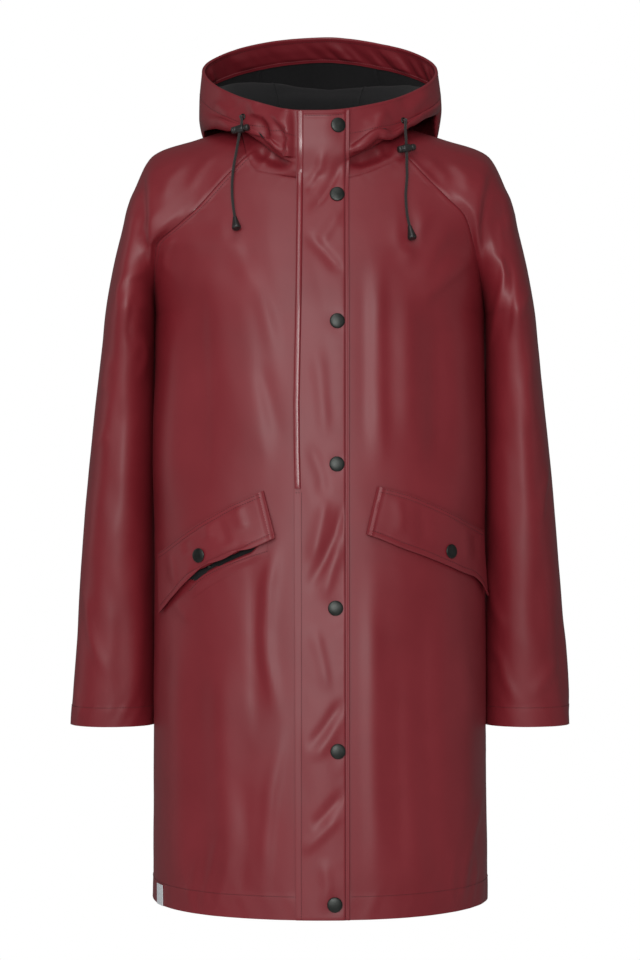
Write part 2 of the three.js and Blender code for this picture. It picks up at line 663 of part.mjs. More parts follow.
// A metal ring round the hole that the cord comes out of
function eyelet(spot, standOff) {
  const profile = [
    [eyeletHole, 0],
    [eyeletRadius, 0],
    [eyeletRadius, 0.7],
    [(eyeletHole + eyeletRadius) / 2, 1.5],
    [eyeletHole, 0.9],
    [eyeletHole, 0],
  ];
  return turned(profile, 14, away(spot, standOff), spot.normal);
}

// A cord along a route, as a tube of eight sides
function cordAlong(path) {
  const circle = new THREE.Shape();
  for (let i = 0; i < 8; i += 1) {
    const angle = (i / 8) * Math.PI * 2;
    const corner = [Math.cos(angle) * cordRadius, Math.sin(angle) * cordRadius];
    if (i === 0) circle.moveTo(...corner);
    else circle.lineTo(...corner);
  }
  return new THREE.ExtrudeGeometry(circle, { steps: 26, bevelEnabled: false, extrudePath: path });
}

function shareAtLevel(path, level) {
  let share = 0;
  while (path.getPointAt(share).z > level) share += 0.005;
  return share;
}

// A spring lock: a bar with round ends, and a hole through its middle for the cord
function cordLock(middle, along, across) {
  const half = lockLength / 2 - lockWidth / 2;
  const outline = new THREE.Shape();
  outline.absarc(half, 0, lockWidth / 2, -Math.PI / 2, Math.PI / 2);
  outline.absarc(-half, 0, lockWidth / 2, Math.PI / 2, Math.PI * 1.5);
  const hole = new THREE.Path();
  hole.absarc(0, 0, cordRadius + lockPlay, 0, Math.PI * 2, true);
  outline.holes.push(hole);
  const geometry = new THREE.ExtrudeGeometry(outline, { depth: lockHeight, bevelEnabled: false, curveSegments: 8 });
  geometry.translate(0, 0, -lockHeight / 2);
  const third = along.clone().cross(across).normalize();
  const basis = new THREE.Matrix4().makeBasis(third.clone().cross(along), third, along);
  return { geometry, position: middle, turn: new THREE.Quaternion().setFromRotationMatrix(basis) };
}

// A bell on the end of the cord
function cordEnd(top, direction) {
  const profile = [[0, 0], [2.4, 0], [3, 4], [4.6, 10], [5.2, 14], [4.4, 16], [0, 16]];
  return turned(profile, 14, top, direction);
}

// A flap from its table of stations, as a grid of spots of the front from its upper to its lower edge
function flapGrid(stations) {
  const order = stations[0].upper[0] < stations[1].upper[0] ? stations : stations.slice().reverse();
  return flapShares.map((down) =>
    order.map(({ upper, lower }) =>
      frontSpot(THREE.MathUtils.lerp(upper[0], lower[0], down), THREE.MathUtils.lerp(upper[1], lower[1], down)),
    ),
  );
}

const coat = new THREE.Group();

function add(name, finish, shape) {
  const geometry = shape.geometry ?? shape;
  const mesh = new THREE.Mesh(geometry, new THREE.MeshStandardMaterial(finish));
  mesh.name = name;
  if (shape.position) mesh.position.copy(shape.position);
  if (shape.turn) mesh.quaternion.copy(shape.turn);
  coat.add(mesh);
  return mesh;
}

// Panels and sleeves
const grids = {
  frontLeft: frontGrid("left"),
  frontRight: frontGrid("right"),
  back: backGrid(),
  sleeveLeft: sleeveGrid("left"),
  sleeveRight: sleeveGrid("right"),
};
const seamRows = levelsOfBody.map((_, row) => [row, row]).slice(0, bodyLevels.length);
const armholeRows = yokeLevels.map((_, i) => [bodyLevels.length + i, sleeveLevels.length + i]);
agreeAlong(grids.frontLeft, 0, grids.back, -1, seamRows);
agreeAlong(grids.frontRight, -1, grids.back, 0, seamRows);
agreeAlong(grids.frontLeft, 0, grids.sleeveLeft, -1, armholeRows);
agreeAlong(grids.frontRight, -1, grids.sleeveRight, 0, armholeRows);
agreeAlong(grids.back, 0, grids.sleeveRight, -1, armholeRows);
agreeAlong(grids.back, -1, grids.sleeveLeft, 0, armholeRows);

// Hood: two sides, a middle strip behind, and the turned-in facing round its edge
const neckSpots = neckLine(grids);
const neck = neckSpots.map((spots) => spots[0].point);
const frontRightCount = grids.frontRight[0].length;
const halfSleeve = (sleeveSteps.length - 1) / 2;
const rightRidge = frontRightCount - 1 + halfSleeve;
const backIndex = rightRidge + halfSleeve + backSteps.length - 1;
const leftRidge = backIndex + backSteps.length - 1 + halfSleeve;
const hood = hoodGrid(neck, [rightRidge, leftRidge], backIndex);
neckSpots.forEach((spots, j) => agree([...spots, hood[0][j]]));
const allEdges = { top: true, first: true, last: true };
add("front_left", coatedRed, wallBetween(trimmed(grids.frontLeft, allEdges), -clothThickness, 0));
add("front_right", coatedRed, wallBetween(trimmed(grids.frontRight, allEdges), -clothThickness, 0));
add("back", coatedRed, wallBetween(trimmed(grids.back, allEdges), -clothThickness, 0));
add("sleeve_left", coatedRed, wallBetween(trimmed(grids.sleeveLeft, allEdges), -clothThickness, 0));
add("sleeve_right", coatedRed, wallBetween(trimmed(grids.sleeveRight, allEdges), -clothThickness, 0));

const middleStripHalf = 4;
const cuts = [0, backIndex - middleStripHalf, backIndex + middleStripHalf, neck.length - 1];
const cutOut = (grid, from, to) => grid.map((row) => row.slice(from, to + 1));
["hood_right", "hood_middle", "hood_left"].forEach((name, i) => {
  const edges = { bottom: true, first: true, last: true };
  const panel = trimmed(cutOut(hood, cuts[i], cuts[i + 1]), edges);
  add(name, coatedRed, wallBetween(panel, -clothThickness, 0));
});
const facingThickness = 1;
const facing = hood.filter((_, i) => facingRows.includes(hoodRows[i]));
const facingInside = -clothThickness - seamGap - facingThickness;
add("hood_facing", coatedRed, wallBetween(facing, facingInside, -clothThickness - seamGap));

// Placket and its welt, on the points of the fronts and, above the neck, of the hood
const placketRows = grids.frontRight.map((row, i) => [...grids.frontLeft[i].slice(-2), ...row.slice(1, 3)]);
const placketHoodRows = hood.slice(1).map((row) => [...row.slice(-2), ...row.slice(1, 3)]);
const placket = [...placketRows, ...placketHoodRows];
const onCloth = seamGap;
const placketOutside = onCloth + placketThickness;
add("placket", coatedRed, wallBetween(placket, onCloth, placketOutside));
const weltRows = levelsOfBody.filter((level) => level > weltBottom + 4 && level < weltTop - 4);
const weltShares = [0, 0.25, 0.5, 0.75, 1];
const weltGrid = [weltBottom, ...weltRows, weltTop].map((level) =>
  weltShares.map((share) => frontSpot(THREE.MathUtils.lerp(weltFrom, weltTo, share), level)),
);
const weltFoot = placketOutside + seamGap;
const weltRise = (i, j) => weltFoot + 0.5 + weltHeight * Math.sin(weltShares[j] * Math.PI);
add("placket_welt", coatedRed, wallBetween(weltGrid, weltFoot, weltRise));

// Snaps of the placket
const placketFace = liftedBy(placket, placketOutside);
snaps.forEach(({ x, level }, i) => {
  const column = 2 + (x - placketMiddleX) / (placketRightX - placketMiddleX);
  const spot = spotOn(placketFace, rowAt(placketFace, level, 2), column);
  add("snap_" + (i + 1), blackMetal, snapCap(snapRadius, spot, snapGap));
});

// Pockets
for (const [side, stations] of [["left", flapLeft], ["right", flapRight]]) {
  const grid = flapGrid(stations);
  const lifts = stations.map((station) => station.lift);
  if (side === "left") lifts.reverse();
  const inner = (i, j) => flapFoot + lifts[j] * flapShares[i];
  const outer = (i, j) => inner(i, j) + flapThickness;
  add("pocket_flap_" + side, coatedRed, wallBetween(grid, inner, outer));
  const { column, row } = flapSnaps[side];
  add("pocket_snap_" + side, blackMetal, snapCap(flapSnapRadius, spotOn(liftedBy(grid, outer), row, column), snapGap));
}
add("pocket_lip_left", coatedRed, wallBetween(flapGrid(pocketLip), lipFoot, lipFoot + lipThickness));
const stud = turned([[0, 0], [studRadius, 0], [studRadius, 1], [0, 1.6]], 12, ...onPlace(frontSpot(studLeft.x, studLeft.level), lipFoot));
add("pocket_stud_left", blackMetal, stud);

// Cords of the hood, with the eyelets that they come out of, their locks and their ends
for (const cord of cords) {
  const hole = spotOn(hood, cord.row, cord.column);
  add("eyelet_" + cord.side, blackMetal, eyelet(hole, seamGap));
  const route = [away(hole, seamGap), away(hole, cordStraight), ...cord.route.map((point) => vec(...point))];
  const path = new THREE.CatmullRomCurve3(route, false, "centripetal");
  add("drawcord_" + cord.side, cordBlack, cordAlong(path));
  const share = shareAtLevel(path, cord.lockLevel);
  const along = path.getTangentAt(share).negate();
  add("cord_lock_" + cord.side, blackPlastic, cordLock(path.getPointAt(share), along, vec(...cord.lockAcross)));
  const down = path.getTangentAt(1);
  const end = path.getPointAt(1).addScaledVector(down, seamGap);
  add("cord_end_" + cord.side, blackPlastic, cordEnd(end, down));
}

// A plain pale tab folded round the hem
const tabRow = (tabTop - hemLevel) / (bodyLevels[1] - bodyLevels[0]);
const tabGrid = [
  { level: tabTop, turn: 0, outside: 1 },
  { level: hemLevel - seamGap, turn: 1, outside: 1 },
  { level: hemLevel - seamGap, turn: 1, outside: -1 },
  { level: tabTop, turn: 0, outside: -1 },
].map(({ level, turn, outside }) =>
  tabColumns.map((column) => {
    const { point, normal } = spotOn(grids.frontLeft, level < hemLevel ? 0 : tabRow, column);
    point.z = level;
    point.addScaledVector(normal, outside > 0 ? seamGap : -clothThickness - seamGap);
    return { point, normal: normal.clone().multiplyScalar(outside).add(vec(0, 0, -turn)) };
  }),
);
add("hem_tab", tabWhite, wallBetween(tabGrid.reverse(), 0, tabThickness));

export default coat;
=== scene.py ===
# The looks of the hooded raincoat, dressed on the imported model.
# The tables are in millimetres, as a pattern cutter would write them; meshes are made in metres.
# Left and right are as seen by somebody facing the coat.
import math

import bmesh
import bpy
import numpy as np
from mathutils import Matrix, Vector


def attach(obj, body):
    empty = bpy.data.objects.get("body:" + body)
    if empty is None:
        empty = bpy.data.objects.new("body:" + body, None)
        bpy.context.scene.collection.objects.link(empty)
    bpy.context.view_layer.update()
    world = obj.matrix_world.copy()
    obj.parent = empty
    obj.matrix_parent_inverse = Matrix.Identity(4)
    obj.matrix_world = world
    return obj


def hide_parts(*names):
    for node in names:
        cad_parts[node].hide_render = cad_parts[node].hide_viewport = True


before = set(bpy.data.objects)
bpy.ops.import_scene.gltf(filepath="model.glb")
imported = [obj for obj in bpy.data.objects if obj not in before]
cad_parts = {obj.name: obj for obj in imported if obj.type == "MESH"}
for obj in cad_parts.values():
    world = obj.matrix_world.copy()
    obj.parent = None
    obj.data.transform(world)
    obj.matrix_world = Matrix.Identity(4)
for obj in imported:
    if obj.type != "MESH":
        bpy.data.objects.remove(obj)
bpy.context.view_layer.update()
mm = 0.001
print("frame loaded:", len(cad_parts), "nodes")

# Camera, at the height of the coat's middle and three metres in front
view = {"place": (0, -3.0, -0.405), "lens": 97.8, "sensor": 36}
cameraData = bpy.data.cameras.new("camera")
cameraData.lens = view["lens"]
cameraData.sensor_width = view["sensor"]
camera = bpy.data.objects.new("camera", cameraData)
camera.location = view["place"]
camera.rotation_euler = (math.pi / 2, 0, 0)
bpy.context.collection.objects.link(camera)
bpy.context.scene.camera = camera


# Curves and surfaces


def ease(low, high, x):
    t = np.clip((np.asarray(x, float) - low) / (high - low), 0, 1)
    return t * t * (3 - 2 * t)


def through(knots, values, at):
    # a cubic through the values of a table that never overshoots them
    knots = np.asarray(knots, float)
    values = np.asarray(values, float)
    at = np.asarray(at, float)
    extra = (1,) * (values.ndim - 1)
    gaps = np.diff(knots).reshape(-1, *extra)
    rises = np.diff(values, axis=0) / gaps
    slopes = np.zeros_like(values)
    slopes[0], slopes[-1] = rises[0], rises[-1]
    before = 2 * gaps[1:] + gaps[:-1]
    after = gaps[1:] + 2 * gaps[:-1]
    with np.errstate(divide="ignore", invalid="ignore"):
        mean = (before + after) / (before / rises[:-1] + after / rises[1:])
    slopes[1:-1] = np.where(rises[:-1] * rises[1:] > 0, mean, 0)
    i = np.clip(np.searchsorted(knots, at) - 1, 0, len(knots) - 2)
    t = ((at - knots[i]) / (knots[i + 1] - knots[i])).reshape(-1, *extra)
    start = (1 + 2 * t) * (1 - t) ** 2 * values[i] + t * (1 - t) ** 2 * gaps[i] * slopes[i]
    return start + t * t * (3 - 2 * t) * values[i + 1] + t * t * (t - 1) * gaps[i] * slopes[i + 1]


def sweep(start, leaving, end, arriving, t):
    t = t[..., None]
    fromStart = start * (1 + 2 * t) * (1 - t) ** 2 + leaving * t * (1 - t) ** 2
    return fromStart + end * t * t * (3 - 2 * t) + arriving * t * t * (t - 1)


def unit(vectors):
    return vectors / np.maximum(np.linalg.norm(vectors, axis=-1, keepdims=True), 1e-12)


def normalsOf(surface, a, levels, flip, stepA, stepLevel):
    across = surface(a + stepA, levels) - surface(a - stepA, levels)
    up = surface(a, levels + stepLevel) - surface(a, levels - stepLevel)
    return flip * unit(np.cross(across, up))


def gridNormals(points):
    across = np.gradient(points, axis=1)
    up = np.gradient(points, axis=0)
    return unit(np.cross(across, up))


def lengthAcross(points):
    steps = np.linalg.norm(np.diff(points, axis=1), axis=-1)
    return np.concatenate([np.zeros((len(points), 1)), np.cumsum(steps, axis=1)], axis=1)


def lengthUp(points):
    return lengthAcross(points.transpose(1, 0, 2)).T


# Relief of the cloth


def hump(distance, width):
    return np.exp(-((distance / width) ** 2))


def foldHeight(folds, across, up):
    # each fold is its rise, its width on the left and right of its path, and the path
    total = np.zeros(np.shape(across))
    for rise, left, right, path in folds:
        path = np.array(path, float)
        lengths = np.linalg.norm(np.diff(path, axis=0), axis=1)
        nearest = np.full(total.shape, np.inf)
        side = np.zeros(total.shape)
        share = np.zeros(total.shape)
        run = 0
        for start, end, length in zip(path, path[1:], lengths):
            way = (end - start) / length
            dx, dy = across - start[0], up - start[1]
            along = np.clip(dx * way[0] + dy * way[1], 0, length)
            away = np.hypot(dx - along * way[0], dy - along * way[1])
            nearer = away < nearest
            side = np.where(nearer, way[0] * dy - way[1] * dx, side)
            share = np.where(nearer, (run + along) / lengths.sum(), share)
            nearest = np.where(nearer, away, nearest)
            run += length
        width = right + (left - right) * ease(-0.5, 0.5, side / max(left, right))
        ends = ease(0, 0.3, share) * ease(0, 0.3, 1 - share)
        total += rise * ends * hump(nearest, width)
    return total


def softNoise(across, up, cellAcross, cellUp, seed):
    table = np.random.default_rng(seed).uniform(-1, 1, (64, 64))
    a, b = across / cellAcross, up / cellUp
    i, j = np.floor(a).astype(int), np.floor(b).astype(int)
    s, t = a - i, b - j
    s, t = s * s * (3 - 2 * s), t * t * (3 - 2 * t)
    low = table[i % 64, j % 64] * (1 - s) + table[(i + 1) % 64, j % 64] * s
    high = table[i % 64, (j + 1) % 64] * (1 - s) + table[(i + 1) % 64, (j + 1) % 64] * s
    return low * (1 - t) + high * t


def waviness(across, up, seed):
    # the slight unevenness that coated cloth has everywhere
    turnedA, turnedB = across * 0.94 + up * 0.34, up * 0.94 - across * 0.34
    wide = softNoise(across, up, 46, 120, seed) * 1.1 + softNoise(turnedA, turnedB, 31, 74, seed + 1) * 0.6
    return wide + softNoise(turnedA, turnedB, 13, 30, seed + 2) * 0.16


seamLook = {
    "groove": 0.8,
    "grooveWidth": 0.9,
    "band": 0.35,
    "bandWidth": 6.6,
    "stitchDip": 0.28,
    "stitchDipWidth": 0.6,
    "pucker": 0.2,
    "puckerReach": 12,
}


def seamRelief(distance, along, seed, stitches=()):
    # a groove on the seam, the doubled band beside it with its stitched lines, and the pucker of the thread
    look = seamLook
    height = -look["groove"] * hump(distance, look["grooveWidth"])
    if stitches:
        width = look["bandWidth"]
        height += look["band"] * (ease(0.4, 1.6, distance) - ease(width, width + 1.4, distance))
    for at in stitches:
        height -= look["stitchDip"] * hump(distance - at, look["stitchDipWidth"])
    pucker = softNoise(along, distance * 0.4, 6.5, 30, seed)
    pucker = pucker + 0.6 * softNoise(along, distance, 15, 40, seed + 5)
    return height + look["pucker"] * pucker * hump(distance, look["puckerReach"]) * ease(0.4, 4, distance)


# The body and the sleeves: the same measures as the solids


body = {
    "fullness": 1.8,
    # level, half width, depth of the front, depth of the back, place of the side seam
    "rings": [
        (-882, 191.5, 176, 168, 0),
        (-800, 191, 172, 164, 0),
        (-690, 190.5, 165, 157, 0),
        (-560, 190, 154, 147, 0),
        (-440, 190, 145, 138, 0),
        (-330, 190, 138, 130, 2),
        (-260, 189.5, 134, 125, 5),
        (-215, 189.5, 131, 122, 10),
    ],
}
yoke = {
    "level": [-175, -142, -121, -101, -70, -41],
    "frontMiddle": [(-126, -180), (-121, -153), (-117, -133), (-113, -115), (-107, -92), (-100, -69)],
    "backMiddle": [(121, -172), (119, -137), (116, -108), (111, -80), (101, -44), (86, -8)],
    "frontPull": [300, 265, 225, 185, 140, 95],
    "backPull": [300, 270, 235, 195, 150, 95],
    "leftSeam": [
        (188.5, -38, -175), (185, -62, -142), (162, -77, -121),
        (139, -83, -101), (111, -84, -70), (83, -78, -41),
    ],
    "rightSeam": [
        (182, -38, -175), (173, -63, -140), (163, -77, -110),
        (143, -83, -89), (120, -84, -66), (98, -77, -42),
    ],
    "backSeam": [
        (188, 58, -172), (183, 84, -135), (166, 98, -104),
        (140, 101, -74), (106, 91, -38), (73, 64, -6),
    ],
    # the pulls that shape the cloth from a seam to the middle, and from a seam to the sleeve's ridge
    "frontArrive": [(45, 150, 0), (120, 88, 0), (128, 56, 8), (112, 40, 18), (86, 32, 20), (64, 30, 24)],
    "backArrive": [
        (55, -135, 0), (120, -70, 0), (142, -30, 8), (118, -32, 12), (90, -40, 12), (56, -42, 2),
    ],
    "sleeveFront": [
        (60, -150, 0), (82, -28, 10), (104, 8, 30), (86, 28, 60), (44, 46, 74), (14, 52, 66),
    ],
    "sleeveBack": [
        (60, 150, 0), (86, 22, 10), (104, -10, 28), (80, -42, 56), (38, -62, 58), (24, -62, 26),
    ],
    "ridge": [
        (238.5, 9, -168), (227, 7, -120), (211.5, 4, -69), (191, 1, -33), (142, 0, -15.5), (92, 0, 0),
    ],
    "ridgePull": [250, 205, 170, 160, 135, 105],
}
sleeves = {
    # level, far side, near side, middle, half depth
    "rings": [
        (-687, 289, 190.4, 26, 50),
        (-608, 284, 190.3, 26, 57),
        (-497, 276, 190.2, 26, 66),
        (-386, 266.5, 190.2, 26, 74),
        (-300, 257, 190.2, 24, 79),
        (-250, 251.5, 190, 19, 82),
        (-215, 247, 189.8, 10, 83),
    ],
    "unitAround": 150,
}
neckLevel = -41
underarm = -215
cuff = -687
hem = -882
zipAcross = -19


def flatRows(*columns):
    return np.stack(np.broadcast_arrays(*columns), -1).astype(float)


def trackOver(rings, low, high, levels):
    knots = np.concatenate([rings, yoke["level"]])
    return through(knots, np.vstack([low, high]), levels)


def seamTrack(rings, low, high, levels, u):
    # a seam runs up the rings to the underarm and from there along the sleeve to the neck; its turn
    # at the underarm fades out towards the middle of the cloth
    below = through(rings, low, levels)
    above = through([rings[-1], *yoke["level"]], np.vstack([low[-1:], high]), levels)
    turning = np.where((levels > rings[-1])[:, None], above, below)[:, None]
    smooth = trackOver(rings, low, high, levels)[:, None]
    return smooth + (turning - smooth) * ease(0.5, 0.97, np.abs(u))[..., None]


def bodyHalf(face, side, u, levels):
    level, half, front, back, seamY = np.array(body["rings"], float).T
    depth, way = (front, -1) if face == "front" else (back, 1)
    full = body["fullness"]
    seamName = "backSeam" if face == "back" else side + "Seam"
    middles = [(0, *place) for place in yoke[face + "Middle"]]
    middle = trackOver(level, flatRows(0, way * depth, level), middles, levels)
    pulls = [(pull, 0, 0) for pull in yoke[face + "Pull"]]
    pull = trackOver(level, flatRows(full * half, 0, 0), pulls, levels)
    seam = seamTrack(level, flatRows(half, seamY, level), yoke[seamName], levels, u)
    arriveLow = flatRows(0, -way * full * (depth - way * seamY), 0)
    arrive = trackOver(level, arriveLow, yoke[face + "Arrive"], levels)
    return sweep(middle[:, None], pull[:, None], seam, arrive[:, None], u)


def bareBody(face, s, levels):
    # s runs from -1 at the left seam over 0 in the middle to 1 at the right seam
    left = bodyHalf(face, "left", np.abs(s), levels) * (-1, 1, 1)
    right = bodyHalf(face, "right", np.abs(s), levels)
    return np.where((s < 0)[..., None], left, right)


def bareSleeve(side, w, levels):
    # w runs from -1 at the front seam over 0 on the ridge to 1 at the back seam
    level, outer, inner, middleY, depth = np.array(sleeves["rings"], float).T
    near = flatRows(inner, middleY, level)
    front = seamTrack(level, near, yoke[side + "Seam"], levels, w)
    back = seamTrack(level, near, yoke["backSeam"], levels, w)
    top = trackOver(level, flatRows(outer, middleY, level), yoke["ridge"], levels)
    frontLeave = trackOver(level, flatRows(0, -4 * depth, 0), yoke["sleeveFront"], levels)
    backLeave = trackOver(level, flatRows(0, 4 * depth, 0), yoke["sleeveBack"], levels)
    pulls = [(0, pull, 0) for pull in yoke["ridgePull"]]
    across = trackOver(level, flatRows(0, 4 * depth, 0), pulls, levels)
    frontLeave, top, across, backLeave = [part[:, None] for part in (frontLeave, top, across, backLeave)]
    inFront = sweep(front, frontLeave, top, across, 1 + w)
    behind = sweep(top, across, back, -backLeave, w)
    point = np.where((w < 0)[..., None], inFront, behind)
    return point * ((-1 if side == "left" else 1), 1, 1)


def acrossAt(levels, x, face="front"):
    # the s at which a row of the body is x from the middle line
    low = np.full((len(levels), 1), -1.0)
    high = np.full((len(levels), 1), 1.0)
    wanted = np.broadcast_to(np.asarray(x, float), (len(levels),))[:, None]
    for _ in range(26):
        middle = (low + high) / 2
        less = bareBody(face, middle, levels)[..., 0] < wanted
        low = np.where(less, middle, low)
        high = np.where(less, high, middle)
    return (low + high) / 2


# Folds as seen from the front, across and up. "strength" scales their heights, and "wave" is the height of
# the cloth's slight unevenness.
frontFolds = {
    "strength": 0.8,
    "wave": 1.0,
    "folds": [
        # left front
        (-3.0, 13, 30, [(-139, -150), (-136, -220), (-133, -350), (-136, -440)]),
        (3.6, 18, 22, [(-168, -165), (-169, -260), (-171, -380), (-173, -470)]),
        (1.8, 4, 6, [(-163, -129), (-174, -150), (-175, -162), (-170, -176)]),
        (-3.0, 4, 5, [(-146, -512), (-122, -497), (-100, -487), (-70, -474)]),
        (4.0, 17, 34, [(-96, -165), (-84, -230), (-78, -300), (-70, -362), (-66, -420)]),
        (0.7, 14, 14, [(-112, -175), (-112, -250), (-106, -360)]),
        (1.8, 9, 12, [(-84, -150), (-62, -215), (-40, -270)]),
        (1.6, 8, 10, [(-70, -190), (-48, -262), (-34, -330)]),
        (-1.4, 8, 8, [(-70, -270), (-52, -330), (-36, -372)]),
        (1.8, 7, 12, [(-120, -110), (-92, -150), (-72, -200)]),
        (4.0, 9, 7, [
            (-33, -455), (-48, -485), (-57, -520), (-61, -570), (-59, -600), (-51, -635), (-40, -680),
        ]),
        (-3.2, 12, 8, [(-74, -470), (-72, -560), (-71, -640), (-66, -700)]),
        (3.4, 6, 8, [(-44, -640), (-38, -668), (-42, -700), (-52, -745), (-58, -800), (-62, -872)]),
        (-2.4, 9, 9, [(-84, -720), (-82, -800), (-90, -884)]),
        (3.0, 16, 16, [(-104, -560), (-106, -680), (-100, -790), (-106, -886)]),
        (-3.4, 15, 15, [(-132, -570), (-134, -690), (-128, -800), (-136, -890)]),
        (2.8, 14, 14, [(-160, -545), (-163, -680), (-160, -800), (-164, -890)]),
        (1.3, 5, 6, [(-130, -800), (-138, -845), (-150, -886)]),
        (1.3, 5, 6, [(-110, -790), (-120, -840), (-130, -888)]),
        (1.2, 5, 6, [(-94, -806), (-106, -850), (-118, -888)]),
        (1.4, 5, 5, [(-164, -537), (-156, -550), (-142, -563)]),
        # right front
        (3.6, 9, 16, [(66, -140), (63, -200), (64, -280), (66, -370), (62, -410)]),
        (-2.2, 9, 9, [(48, -160), (46, -260), (48, -380)]),
        (2.4, 7, 14, [(180, -148), (150, -172), (124, -196), (108, -218)]),
        (-4.6, 15, 15, [(120, -196), (128, -240), (130, -330), (126, -420)]),
        (2.6, 12, 12, [(98, -170), (96, -260), (97, -380)]),
        (3.0, 15, 15, [(162, -200), (160, -300), (163, -400), (160, -448)]),
        (1.8, 8, 12, [(150, -112), (128, -150), (108, -190)]),
        (1.6, 8, 10, [(124, -96), (106, -134), (90, -176)]),
        (1.3, 7, 9, [(104, -92), (92, -120), (84, -150)]),
        (3.2, 14, 14, [(58, -478), (54, -560), (55, -680), (60, -790), (62, -888)]),
        (-3.6, 15, 19, [(114, -500), (112, -600), (116, -700), (124, -800), (130, -888)]),
        (3.2, 13, 13, [(162, -540), (166, -640), (164, -760), (150, -888)]),
        (2.4, 5, 6, [(187, -742), (178, -775), (168, -808), (161, -838), (155, -886)]),
        (1.4, 4, 5, [(170, -806), (173, -830), (174, -862)]),
        (1.2, 5, 5, [(148, -815), (146, -850), (148, -886)]),
        (-1.6, 10, 10, [(84, -560), (86, -680), (90, -800), (94, -888)]),
    ],
}
backFolds = {
    "strength": 1.0,
    "wave": 1.1,
    "folds": [
        (3.6, 18, 26, [(-126, -150), (-120, -300), (-124, -480), (-130, -690), (-126, -888)]),
        (-3.4, 14, 20, [(-78, -190), (-70, -340), (-66, -520), (-72, -700), (-70, -888)]),
        (4.2, 22, 18, [(-18, -130), (-8, -300), (-4, -500), (6, -700), (2, -888)]),
        (-3.6, 18, 15, [(52, -210), (62, -360), (66, -540), (70, -740), (76, -888)]),
        (4.0, 18, 24, [(118, -160), (122, -320), (126, -500), (122, -700), (134, -888)]),
        (2.2, 8, 12, [(-166, -120), (-150, -190), (-140, -270), (-136, -350)]),
        (2.2, 12, 8, [(166, -118), (152, -180), (140, -262), (134, -356)]),
        (-2.0, 9, 9, [(-160, -420), (-156, -560), (-160, -700), (-156, -888)]),
        (-2.2, 9, 11, [(162, -430), (158, -600), (162, -740), (158, -888)]),
        (1.8, 7, 9, [(-44, -560), (-38, -680), (-40, -790), (-36, -888)]),
        (1.6, 7, 8, [(34, -600), (30, -700), (38, -800), (34, -888)]),
        (1.5, 7, 9, [(96, -590), (94, -700), (100, -800), (98, -888)]),
        (1.2, 6, 8, [(-60, -60), (-74, -110), (-80, -170)]),
        (1.2, 8, 6, [(58, -56), (72, -112), (76, -176)]),
        (-1.4, 8, 8, [(-30, -420), (10, -470), (46, -480)]),
    ],
}
